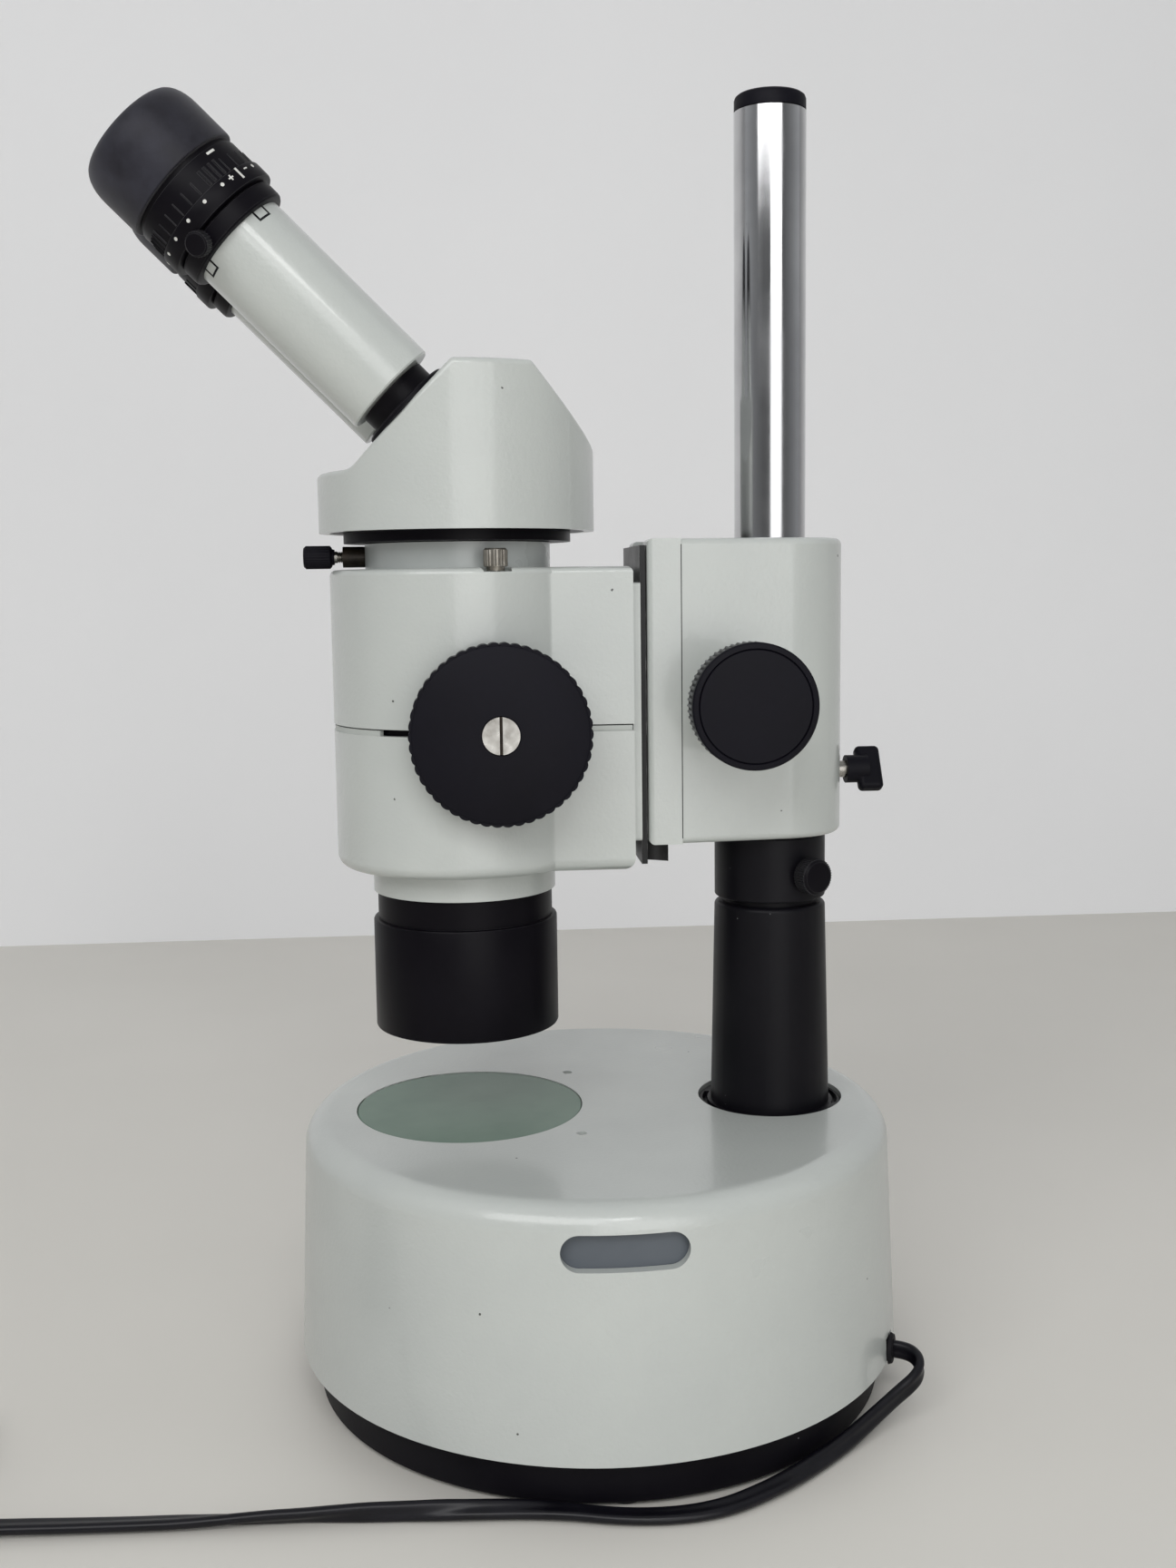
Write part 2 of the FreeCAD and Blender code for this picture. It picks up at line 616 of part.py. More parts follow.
# ---- focus drive ------------------------------------------------------------------------------
def drive_outline():
    """Flat front, sides that run tangent to a round back about the column."""
    across = math.hypot(DRIVE_HALF_WIDTH, COLUMN_Y - PLATE_BACK_Y)
    turn = math.acos(DRIVE_REAR_R / across) - math.atan2(COLUMN_Y - PLATE_BACK_Y, DRIVE_HALF_WIDTH)
    touch = V(DRIVE_REAR_R * math.cos(turn), COLUMN_Y + DRIVE_REAR_R * math.sin(turn), 0)
    corner = V(DRIVE_HALF_WIDTH, PLATE_BACK_Y, 0)
    back = V(0, COLUMN_Y + DRIVE_REAR_R, 0)
    mirrored = V(-touch.x, touch.y, 0)
    return [Part.LineSegment(corner, touch).toShape(), Part.Arc(touch, back, mirrored).toShape(),
            Part.LineSegment(mirrored, V(-corner.x, corner.y, 0)).toShape(),
            Part.LineSegment(V(-corner.x, corner.y, 0), corner).toShape()]


def drive_housing():
    """Casting that holds the column bore, the pinion's bearings and the clamp's thread."""
    casting = upright(drive_outline(), DRIVE_LOW_Z, DRIVE_TOP_Z)

    def edge_to_round(edge):
        level = flat_at(DRIVE_LOW_Z)(edge) or flat_at(DRIVE_TOP_Z)(edge)
        return level and edge.BoundBox.YMax > PLATE_BACK_Y + 0.1
    casting = rounded(casting, DRIVE_EDGE_ROUND, edge_to_round)
    for side in (1, -1):
        boss = rod(BEARING_BOSS_R, V(side * (DRIVE_HALF_WIDTH - 8), PINION_Y, PINION_Z),
                   V(side * BEARING_BOSS_X, PINION_Y, PINION_Z))
        casting = casting.fuse(boss)
    casting = casting.cut(drum(COLUMN_BORE_R, DRIVE_LOW_Z, DRIVE_TOP_Z, COLUMN_AXIS))
    reach = BEARING_BOSS_X + 1
    casting = casting.cut(rod(PINION_SHAFT_R + FIT, V(-reach, PINION_Y, PINION_Z),
                              V(reach, PINION_Y, PINION_Z)))
    pocket_r = GEAR_MODULE * (PINION_TEETH / 2 + 1) + 1
    slot_x = (RACK_X - RACK_SLOT_MARGIN, RACK_X + RACK_WIDTH + RACK_SLOT_MARGIN)
    casting = casting.cut(rod(pocket_r, V(slot_x[0], PINION_Y, PINION_Z), V(slot_x[1], PINION_Y, PINION_Z)))
    casting = casting.cut(block(slot_x, (PLATE_BACK_Y, rack_pitch_y() + 2), rack_window()))
    thread = rod(WING_SHANK_R + FIT, V(0, COLUMN_Y, WING_Z), V(0, COLUMN_Y + DRIVE_REAR_R + 1, WING_Z))
    return casting.cut(thread)


def rack_pitch_y():
    return PINION_Y - GEAR_MODULE * PINION_TEETH / 2


def rack_window():
    """Height range that the rack sweeps, inside the drive."""
    margin = 1.0
    return (PINION_Z - RACK_LENGTH / 2 - FOCUS_DOWN - margin, PINION_Z + RACK_LENGTH / 2 + FOCUS_UP + margin)


def tail(mouth, floor, depth, low, high, front):
    """Dovetail prism: narrow at its mouth, wide at its floor."""
    corners = [V(-mouth, front, low), V(mouth, front, low), V(floor, front + depth, low),
               V(-floor, front + depth, low)]
    face = Part.Face(Part.makePolygon(corners + corners[:1]))
    return face.extrude(V(0, 0, high - low))


def drive_front_plate():
    """Painted plate with the female dovetail, bolted to the housing."""
    plate = block((-DRIVE_HALF_WIDTH, DRIVE_HALF_WIDTH), (PLATE_FRONT_Y, PLATE_BACK_Y),
                  (DRIVE_LOW_Z, DRIVE_TOP_Z))
    plate = plate.makeFillet(PLATE_ROUND, [edge for edge in plate.Edges
                                           if edge.BoundBox.YMax < PLATE_FRONT_Y + 0.1])
    plate = plate.cut(tail(TAIL_MOUTH, TAIL_FLOOR, TAIL_DEPTH + TAIL_CLEARANCE, DRIVE_LOW_Z - 1,
                           DRIVE_TOP_Z + 1, PLATE_FRONT_Y))
    slot_x = (RACK_X - RACK_SLOT_MARGIN, RACK_X + RACK_WIDTH + RACK_SLOT_MARGIN)
    return plate.cut(block(slot_x, (PLATE_FRONT_Y + TAIL_DEPTH, PLATE_BACK_Y), rack_window()))


def focus_carriage():
    """Black slide with the male dovetail, which carries the zoom body up and down."""
    plate = block((-CARRIAGE_HALF_WIDTH, CARRIAGE_HALF_WIDTH), (BRACKET_BACK_Y, CARRIAGE_BACK_Y),
                  (CARRIAGE_LOW_Z, CARRIAGE_TOP_Z))
    slim = TAIL_CLEARANCE * 1.2
    front = PLATE_FRONT_Y - SLIP
    slope = (TAIL_FLOOR - TAIL_MOUTH) / (TAIL_DEPTH + TAIL_CLEARANCE)
    mouth = TAIL_MOUTH - slim - slope * SLIP
    depth = TAIL_DEPTH - TAIL_CLEARANCE + SLIP
    wedge = tail(mouth, mouth + slope * depth, depth, CARRIAGE_LOW_Z, CARRIAGE_TOP_Z, front)
    return plate.fuse(wedge).removeSplitter()


def tail_back_y():
    return PLATE_FRONT_Y + TAIL_DEPTH - TAIL_CLEARANCE


def focus_rack():
    """Toothed bar on the back of the slide."""
    pitch = math.pi * GEAR_MODULE
    pitch_y = rack_pitch_y()
    addendum = 0.8 * GEAR_MODULE
    dedendum = 1.2 * GEAR_MODULE
    slant = math.tan(math.radians(20))
    half = pitch / 4 - GEAR_BACKLASH / 2
    low = PINION_Z - RACK_LENGTH / 2
    high = PINION_Z + RACK_LENGTH / 2
    corners = [V(RACK_X, tail_back_y(), low), V(RACK_X, pitch_y - dedendum, low)]
    count = int(RACK_LENGTH / 2 / pitch)
    for number in range(-count, count + 1):
        middle = PINION_Z + number * pitch
        root = half + dedendum * slant
        tip = half - addendum * slant
        corners += [V(RACK_X, pitch_y - dedendum, middle - root), V(RACK_X, pitch_y + addendum, middle - tip),
                    V(RACK_X, pitch_y + addendum, middle + tip), V(RACK_X, pitch_y - dedendum, middle + root)]
    corners += [V(RACK_X, pitch_y - dedendum, high), V(RACK_X, tail_back_y(), high)]
    face = Part.Face(Part.makePolygon(corners + corners[:1]))
    return face.extrude(V(RACK_WIDTH, 0, 0))


def pinion_outline():
    """Corners of a spur pinion with involute flanks, as (angle, radius) about its axis."""
    pitch_r = GEAR_MODULE * PINION_TEETH / 2
    base_r = pitch_r * math.cos(math.radians(20))
    root_r = pitch_r - 1.2 * GEAR_MODULE
    tip_r = pitch_r + 0.9 * GEAR_MODULE
    half = (math.pi * GEAR_MODULE / 2 - GEAR_BACKLASH) / 2 / pitch_r

    def spread(radius):
        angle = math.acos(min(1.0, base_r / radius))
        return math.tan(angle) - angle
    flank = [root_r, base_r] + [base_r + (tip_r - base_r) * step / 4 for step in range(1, 5)]
    outline = []
    for tooth in range(PINION_TEETH):
        middle = 2 * math.pi * (tooth + 0.5) / PINION_TEETH
        rise = [(half + spread(pitch_r) - spread(max(radius, base_r)), radius) for radius in flank]
        outline += [(middle - angle, radius) for angle, radius in rise]
        outline += [(middle + angle, radius) for angle, radius in reversed(rise)]
    return outline


def pinion_shaft():
    """Focus shaft with its pinion, in mesh with the rack at rest."""
    reach = FOCUS_KNOB_BACK_X + 6
    shaft = rod(PINION_SHAFT_R, V(-reach, PINION_Y, PINION_Z), V(reach, PINION_Y, PINION_Z))
    corners = [V(RACK_X - 0.1, PINION_Y - radius * math.cos(angle), PINION_Z + radius * math.sin(angle))
               for angle, radius in pinion_outline()]
    gear = Part.Face(Part.makePolygon(corners + corners[:1])).extrude(V(RACK_WIDTH + 0.2, 0, 0))
    return shaft.fuse(gear)


def focus_knob(side):
    """Round knob with its hub; the rim's knurling is too fine to model here."""
    profile = [(PINION_SHAFT_R, BEARING_BOSS_X + SLIP), (KNOB_HUB_R, BEARING_BOSS_X + SLIP),
               (KNOB_HUB_R, FOCUS_KNOB_BACK_X), (FOCUS_KNOB_R, FOCUS_KNOB_BACK_X),
               (FOCUS_KNOB_R, FOCUS_KNOB_FACE_X - FOCUS_KNOB_ROUND),
               (FOCUS_KNOB_R - FOCUS_KNOB_ROUND, FOCUS_KNOB_FACE_X - 0.3), (0, FOCUS_KNOB_FACE_X),
               (0, FOCUS_KNOB_BACK_X + 6), (PINION_SHAFT_R, FOCUS_KNOB_BACK_X + 6)]
    return turned(profile, V(0, PINION_Y, PINION_Z), RIGHT * side)


def wing_screw_shank():
    start = V(0, COLUMN_Y + COLUMN_R + SLIP, WING_Z)
    end = V(0, COLUMN_Y + DRIVE_REAR_R + WING_GAP + WING_HUB_LENGTH - 1, WING_Z)
    return rod(WING_SHANK_R, start, end)


def wing_screw_handle():
    """Hub with two wings, pressed on the end of the clamp screw."""
    start = COLUMN_Y + DRIVE_REAR_R + WING_GAP
    hub = rod(WING_HUB_R, V(0, start, WING_Z), V(0, start + WING_HUB_LENGTH, WING_Z))
    low = start + WING_HUB_LENGTH - 4
    wing = block((-WING_SPAN / 2, WING_SPAN / 2), (low, low + WING_DEPTH),
                 (-WING_THICKNESS / 2, WING_THICKNESS / 2))
    wing = wing.makeFillet(1.8, [edge for edge in wing.Edges])
    wing.rotate(V(0, 0, 0), BACK, 90 - WING_TILT)
    wing.translate(V(0, 0, WING_Z))
    return hub.fuse(wing).cut(wing_screw_shank())


# ---- zoom body --------------------------------------------------------------------------------
def keyhole(inset):
    """Plan of the zoom body: a round front on a narrower straight block."""
    radius = BODY_R - inset
    half = BODY_BLOCK_HALF_WIDTH - inset
    meet = OPTIC_Y + math.sqrt(radius ** 2 - half ** 2)
    rear = BODY_REAR_Y - inset
    front = V(0, OPTIC_Y - radius, 0)
    right = V(half, meet, 0)
    left = V(-half, meet, 0)
    return [Part.Arc(right, front, left).toShape(), Part.LineSegment(left, V(-half, rear, 0)).toShape(),
            Part.LineSegment(V(-half, rear, 0), V(half, rear, 0)).toShape(),
            Part.LineSegment(V(half, rear, 0), right).toShape()]


def zoom_bore(radius):
    reach = ZOOM_KNOB_FACE_X
    return rod(radius, V(-reach, ZOOM_Y, ZOOM_Z), V(reach, ZOOM_Y, ZOOM_Z))


def body_upper_shell():
    shell = upright(keyhole(0), SEAM_TOP_Z, BODY_TOP_Z)
    shell = rounded(shell, BODY_TOP_ROUND, flat_at(BODY_TOP_Z))
    shell = shell.cut(upright(keyhole(BODY_WALL), SEAM_TOP_Z, BODY_TOP_Z - BODY_WALL))
    shell = shell.cut(drum(LIGHT_BORE_R, SEAM_TOP_Z, BODY_TOP_Z, OPTIC_AXIS)).cut(zoom_bore(ZOOM_HOLE_R))
    place = V(TOP_SCREW_X, TOP_SCREW_Y, 0)
    shell = shell.cut(drum(TOP_SCREW_RECESS_R, BODY_TOP_Z - TOP_SCREW_RECESS, BODY_TOP_Z, place))
    boss_low = BODY_TOP_Z - BODY_WALL - TOP_SCREW_STEM_LENGTH
    boss = drum(TOP_SCREW_STEM_R + 2.5, boss_low, BODY_TOP_Z - TOP_SCREW_RECESS, place)
    shell = shell.fuse(boss.common(upright(keyhole(0.5), boss_low, BODY_TOP_Z)))
    return shell.cut(drum(TOP_SCREW_STEM_R + FIT, boss_low, BODY_TOP_Z, place))


def body_lower_shell():
    shell = upright(keyhole(0), BODY_LOW_Z, SEAM_LOW_Z)
    shell = rounded(shell, BODY_LOW_ROUND, flat_at(BODY_LOW_Z))
    shell = shell.fuse(drum(COLLAR_BELOW_R, COLLAR_BELOW_Z, BODY_LOW_Z + 1, OPTIC_AXIS))
    shell = shell.cut(upright(keyhole(BODY_WALL), BODY_LOW_Z + BODY_WALL, SEAM_LOW_Z))
    return shell.cut(drum(LIGHT_BORE_R, COLLAR_BELOW_Z, SEAM_LOW_Z, OPTIC_AXIS)).cut(zoom_bore(ZOOM_HOLE_R))


def body_bracket():
    """Painted strip between the zoom body and the slide."""
    plate = block((-BRACKET_HALF_WIDTH, BRACKET_HALF_WIDTH), (BODY_REAR_Y, BRACKET_BACK_Y),
                  (BRACKET_LOW_Z, BRACKET_TOP_Z))
    return plate.makeFillet(1.0, [edge for edge in plate.Edges
                                  if edge.BoundBox.YMax - edge.BoundBox.YMin > 1])


def guide_rod_places():
    return [V(0, OPTIC_Y - GUIDE_FRONT, 0), V(0, OPTIC_Y + GUIDE_REAR, 0)]


def body_chassis():
    """Black inner frame that joins both shells, bears the zoom shaft and holds the guide rods."""
    low = BODY_LOW_Z + BODY_WALL
    high = BODY_TOP_Z - BODY_WALL
    frame = upright(keyhole(CHASSIS_INSET), low, high).cut(upright(keyhole(CHASSIS_INSET + CHASSIS_WALL),
                                                                   low, high))
    notch_r = TOP_SCREW_STEM_R + 2.5 + SLIP
    frame = frame.cut(drum(notch_r, high - TOP_SCREW_STEM_LENGTH - SLIP, high,
                           V(TOP_SCREW_X, TOP_SCREW_Y, 0)))
    frame = frame.cut(zoom_bore(ZOOM_SHAFT_R + FIT))
    rods = [drum(GUIDE_ROD_R, low, high, place) for place in guide_rod_places()]
    return Part.makeCompound([frame] + rods)


def zoom_shaft():
    """Cross shaft with the cam drum that drives both lens carriages."""
    reach = ZOOM_KNOB_BACK_X + 5
    shaft = rod(ZOOM_SHAFT_R, V(-reach, ZOOM_Y, ZOOM_Z), V(reach, ZOOM_Y, ZOOM_Z))
    half = ZOOM_CAM_LENGTH / 2
    return shaft.fuse(rod(ZOOM_CAM_R, V(-half, ZOOM_Y, ZOOM_Z), V(half, ZOOM_Y, ZOOM_Z)))


def zoom_knob(side):
    """Large knob with a counterbored seat for its centre screw."""
    seat = ZOOM_KNOB_FACE_X - KNOB_SCREW_LENGTH + KNOB_SCREW_SINK
    inner = ZOOM_KNOB_BACK_X - ZOOM_HUB_LENGTH
    profile = [(ZOOM_SHAFT_R, inner), (ZOOM_HUB_R, inner), (ZOOM_HUB_R, ZOOM_KNOB_BACK_X),
               (ZOOM_KNOB_R, ZOOM_KNOB_BACK_X), (ZOOM_KNOB_R, ZOOM_KNOB_FACE_X - ZOOM_KNOB_ROUND),
               (ZOOM_KNOB_R - ZOOM_KNOB_ROUND, ZOOM_KNOB_FACE_X), (KNOB_SCREW_R + FIT, ZOOM_KNOB_FACE_X),
               (KNOB_SCREW_R + FIT, seat), (0, seat), (0, ZOOM_KNOB_BACK_X + 5),
               (ZOOM_SHAFT_R, ZOOM_KNOB_BACK_X + 5)]
    return turned(profile, V(0, ZOOM_Y, ZOOM_Z), RIGHT * side)


def knob_screws():
    def one(side):
        seat = ZOOM_KNOB_FACE_X - KNOB_SCREW_LENGTH + KNOB_SCREW_SINK
        face = seat + KNOB_SCREW_LENGTH
        head = rod(KNOB_SCREW_R, V(side * seat, ZOOM_Y, ZOOM_Z), V(side * face, ZOOM_Y, ZOOM_Z))
        slot = block(sorted((side * (face - 1), side * (face + 1))),
                     (ZOOM_Y - KNOB_SCREW_SLOT / 2, ZOOM_Y + KNOB_SCREW_SLOT / 2),
                     (ZOOM_Z - 10, ZOOM_Z + 10))
        return head.cut(slot)
    return both_sides(one)


def lens_carriage(low):
    """Plate on two guide rods with a lens barrel in each light channel."""
    plate = block((-CHANNEL_X - 8, CHANNEL_X + 8), (OPTIC_Y - GUIDE_FRONT - 4, OPTIC_Y + GUIDE_REAR + 4),
                  (low, low + LENS_PLATE))
    for side in (1, -1):
        place = V(side * CHANNEL_X, OPTIC_Y, 0)
        plate = plate.fuse(drum(LENS_BARREL_R, low, low + LENS_BARREL_LENGTH, place))
    for side in (1, -1):
        place = V(side * CHANNEL_X, OPTIC_Y, 0)
        plate = plate.cut(drum(LENS_BORE_R, low, low + LENS_BARREL_LENGTH, place))
        plate = plate.fuse(drum(LENS_BORE_R, low + 2, low + 2 + LENS_GLASS, place))
    for place in guide_rod_places():
        plate = plate.cut(drum(GUIDE_ROD_R + FIT, low, low + LENS_PLATE, place))
    return plate


def objective_barrel():
    """Black objective tube, screwed into the collar under the body."""
    thread_top = COLLAR_BELOW_Z + OBJECTIVE_THREAD_LENGTH
    lens_low = OBJECTIVE_FRONT_Z + OBJECTIVE_MOUTH_DEPTH
    profile = [(OBJECTIVE_MOUTH_R, OBJECTIVE_FRONT_Z), (OBJECTIVE_R - 0.8, OBJECTIVE_FRONT_Z),
               (OBJECTIVE_R, OBJECTIVE_FRONT_Z + 0.8), (OBJECTIVE_R, OBJECTIVE_SHOULDER_Z - 0.8),
               (OBJECTIVE_R - 0.8, OBJECTIVE_SHOULDER_Z), (OBJECTIVE_NECK_R, OBJECTIVE_SHOULDER_Z),
               (OBJECTIVE_NECK_R, COLLAR_BELOW_Z), (OBJECTIVE_THREAD_R, COLLAR_BELOW_Z),
               (OBJECTIVE_THREAD_R, thread_top), (OBJECTIVE_THREAD_R - 3, thread_top),
               (OBJECTIVE_THREAD_R - 3, OBJECTIVE_SHOULDER_Z), (OBJECTIVE_BORE_R, OBJECTIVE_SHOULDER_Z),
               (OBJECTIVE_BORE_R, lens_low), (OBJECTIVE_MOUTH_R, lens_low)]
    return turned(profile, OPTIC_AXIS, UP)


def objective_lens():
    low = OBJECTIVE_FRONT_Z + OBJECTIVE_MOUTH_DEPTH
    lens = drum(OBJECTIVE_BORE_R - FIT, low, low + OBJECTIVE_LENS_LENGTH, OPTIC_AXIS)
    return rounded(lens, 1.0, flat_at(low))


# ---- head -------------------------------------------------------------------------------------
def head_ring():
    """Ring on top of the body that the head turns in, with its clamp screw's sleeve."""
    ring = washer(RING_R, RING_BORE_R, BODY_TOP_Z, RING_TOP_Z, OPTIC_AXIS)
    front = OPTIC_Y - RING_R
    hole = rod(CLAMP_STEM_R + FIT, V(0, OPTIC_Y, CLAMP_Z), V(0, front - CLAMP_SLEEVE_LENGTH - 1, CLAMP_Z))
    sleeve = rod(CLAMP_SLEEVE_R, V(0, front - CLAMP_SLEEVE_LENGTH, CLAMP_Z), V(0, front + 2, CLAMP_Z))
    sleeve = sleeve.cut(drum(RING_R, BODY_TOP_Z, RING_TOP_Z, OPTIC_AXIS))
    return Part.makeCompound([ring.cut(hole), sleeve.cut(hole)])


def head_clamp_screw():
    tip = OPTIC_Y - RING_BORE_R - SLIP
    head_back = OPTIC_Y - RING_R - CLAMP_SLEEVE_LENGTH - CLAMP_HEAD_GAP
    stem = rod(CLAMP_STEM_R, V(0, tip, CLAMP_Z), V(0, head_back, CLAMP_Z))
    head = rod(CLAMP_HEAD_R, V(0, head_back, CLAMP_Z), V(0, head_back - CLAMP_HEAD_LENGTH, CLAMP_Z))
    head = head.makeFillet(0.5, [edge for edge in head.Edges if edge.Curve.TypeId == "Part::GeomCircle"])
    return stem.fuse(head)


def top_screw():
    """Small knurled screw that stands in a recess of the body's roof."""
    low = BODY_TOP_Z - TOP_SCREW_RECESS + SLIP
    place = V(TOP_SCREW_X, TOP_SCREW_Y, 0)
    head = drum(TOP_SCREW_R, low, low + TOP_SCREW_LENGTH, place)
    head = rounded(head, 0.5, flat_at(low + TOP_SCREW_LENGTH))
    return head.fuse(drum(TOP_SCREW_STEM_R, low - TOP_SCREW_STEM_LENGTH, low, place))


def head_disc():
    """Black disc and floor of the head, with the spigot that turns in the ring."""
    disc = washer(DISC_R, DISC_BORE_R, DISC_LOW_Z, HEAD_LOW_Z, OPTIC_AXIS)
    floor = washer(HEAD_R - HEAD_WALL - FIT, DISC_BORE_R, HEAD_LOW_Z, HEAD_LOW_Z + HEAD_FLOOR, OPTIC_AXIS)
    spigot = washer(RING_BORE_R - FIT, DISC_BORE_R, DISC_LOW_Z - DISC_SPIGOT_LENGTH, DISC_LOW_Z, OPTIC_AXIS)
    return disc.fuse([floor, spigot])


def slope_foot():
    """Point of the sloping face on the optical plane at the tubes' height."""
    level = V(0, OPTIC_Y, 0)
    return level + TUBE_DIRECTION * HEAD_SLOPE + TUBE_ACROSS * TUBE_HEIGHT


def head_form(inset, smooth):
    """Round head cut by its ledge, its 45 degree front, its roof and its rear slope."""
    radius = HEAD_R - inset
    top = HEAD_TOP_Z - inset
    ledge = HEAD_LEDGE_Z - inset
    slope = HEAD_SLOPE * math.sqrt(2) - inset * math.sqrt(2)
    rear_run = HEAD_R - HEAD_TOP_REAR
    rear_drop = HEAD_TOP_Z - HEAD_REAR_Z
    rear_inset = inset * math.hypot(rear_run, rear_drop) / rear_drop
    far = HEAD_R + 5
    rear_y = HEAD_TOP_REAR - rear_inset + inset * rear_run / rear_drop
    rear_end = top - (far - rear_y) * rear_drop / rear_run
    front_z = ledge
    points = [(-far, HEAD_LOW_Z), (-far, front_z), (ledge - slope, ledge), (top - slope, top), (rear_y, top),
              (far, rear_end), (far, HEAD_LOW_Z)]
    corners = [V(-far, OPTIC_Y + y, z) for y, z in points]
    prism = Part.Face(Part.makePolygon(corners + corners[:1])).extrude(V(2 * far, 0, 0))
    if smooth:
        def along_x(place, radius_here):
            def test(edge):
                box = edge.BoundBox
                return (box.XMax - box.XMin > far and abs(box.YMin - place.y) < 0.01
                        and abs(box.ZMin - place.z) < 0.01)
            return test, radius_here
        jobs = [along_x(corners[2], HEAD_LEDGE_ROUND), along_x(corners[3], HEAD_EDGE_ROUND),
                along_x(corners[4], HEAD_EDGE_ROUND)]
        for test, radius_here in jobs:
            prism = rounded(prism, radius_here, test)
    form = prism.common(drum(radius, HEAD_LOW_Z, HEAD_TOP_Z, OPTIC_AXIS))
    if smooth:
        form = rounded(form, HEAD_EDGE_ROUND, lambda edge: edge.BoundBox.ZMax > HEAD_LOW_Z + 1)
    return form


def head_housing():
    form = head_form(0, True).cut(head_form(HEAD_WALL, False))
    for side in (1, -1):
        foot = neck_foot(side)
        form = form.cut(rod(NECK_BORE_R, foot - TUBE_DIRECTION * 3 * HEAD_WALL, foot + TUBE_DIRECTION))
    return form


def head_prisms():
    """Glass block behind each neck, standing on the disc."""
    def one(side):
        foot = neck_foot(side)
        half = PRISM_SIZE / 2
        middle = side * (half + PRISM_GAP)
        return block((middle - half, middle + half), (foot.y + PRISM_SIZE / 2, foot.y + PRISM_SIZE * 1.5),
                     (HEAD_LOW_Z + HEAD_FLOOR, HEAD_LOW_Z + HEAD_FLOOR + PRISM_HEIGHT))
    return both_sides(one)


# ---- eyepiece tubes ---------------------------------------------------------------------------
def tube_foot(side):
    return slope_foot() + RIGHT * (side * EYE_X)


def neck_foot(side):
    return slope_foot() + RIGHT * (side * (EYE_X - NECK_OFFSET))


def tube_necks():
    """Bearing necks on the head's sloping face, one for each tube."""
    def one(side):
        profile = [(NECK_BORE_R, 0), (NECK_FLANGE_R, 0), (NECK_FLANGE_R, NECK_FLANGE - 0.4),
                   (NECK_FLANGE_R - 0.4, NECK_FLANGE), (NECK_R, NECK_FLANGE),
                   (NECK_R, TUBE_LOW_U - SLIP), (JOURNAL_R, TUBE_LOW_U - SLIP), (JOURNAL_R, NECK_TOP_U),
                   (NECK_BORE_R, NECK_TOP_U)]
        return turned(profile, neck_foot(side), TUBE_DIRECTION)
    return both_sides(one)


def eyepiece_tube(side):
    """Painted tube; its end plate turns on the neck, off centre."""
    inner = TUBE_R - TUBE_WALL
    floor = TUBE_LOW_U + TUBE_END_PLATE
    profile = [(0, TUBE_LOW_U), (TUBE_R - 0.5, TUBE_LOW_U), (TUBE_R, TUBE_LOW_U + 0.5), (TUBE_R, TUBE_TOP_U),
               (inner, TUBE_TOP_U), (inner, NECK_TOP_U + 2), (inner - 0.6, NECK_TOP_U + 2),
               (inner - 0.6, NECK_TOP_U + 0.8), (0, NECK_TOP_U + 0.8)]
    solid = turned(profile, tube_foot(side), TUBE_DIRECTION)
    foot = neck_foot(side)
    bearing = rod(JOURNAL_R + FIT, foot + TUBE_DIRECTION * (TUBE_LOW_U - 1), foot + TUBE_DIRECTION * floor)
    room = rod(JOURNAL_R + SLIP, foot + TUBE_DIRECTION * floor, foot + TUBE_DIRECTION * (NECK_TOP_U + SLIP))
    light = rod(NECK_BORE_R - 1, tube_foot(side) + TUBE_DIRECTION * TUBE_LOW_U,
                tube_foot(side) + TUBE_DIRECTION * (NECK_TOP_U + 3))
    return solid.cut(bearing).cut(room).cut(light)


def clamp_ring(side):
    """Black ring on the end of the tube that holds the eyepiece."""
    low = TUBE_TOP_U - CLAMP_RING_LAP
    bore = EYEPIECE_BARREL_R + 0.5
    profile = [(TUBE_R, low), (CLAMP_RING_LOW_R, low), (CLAMP_RING_R - 0.9, low + 2.8),
               (CLAMP_RING_R, low + 5), (CLAMP_RING_R, CLAMP_RING_TOP_U - 0.5),
               (CLAMP_RING_R - 0.5, CLAMP_RING_TOP_U), (bore, CLAMP_RING_TOP_U), (bore, TUBE_TOP_U),
               (TUBE_R, TUBE_TOP_U)]
    ring = turned(profile, tube_foot(side), TUBE_DIRECTION)
    return ring.cut(rod(LOCK_STEM_R + FIT, lock_point(side, 0), lock_point(side, CLAMP_RING_R + 1)))


def lock_point(side, distance):
    """Point on the lock screw's axis, at a distance from the tube's axis."""
    turn = math.radians(LOCK_SCREW_ANGLE)
    way = RIGHT * (side * math.cos(turn)) + TUBE_ACROSS * math.sin(turn)
    return tube_foot(side) + TUBE_DIRECTION * LOCK_SCREW_U + way * distance


def lock_screw(side):
    head_low = max(DIOPTER_R, CLAMP_RING_R) + SLIP
    stem = rod(LOCK_STEM_R, lock_point(side, EYEPIECE_BARREL_R + SLIP), lock_point(side, head_low))
    head = rod(LOCK_HEAD_R, lock_point(side, head_low), lock_point(side, head_low + LOCK_HEAD_LENGTH))
    head = head.makeFillet(0.6, [edge for edge in head.Edges if edge.Curve.TypeId == "Part::GeomCircle"])
    return stem.fuse(head)


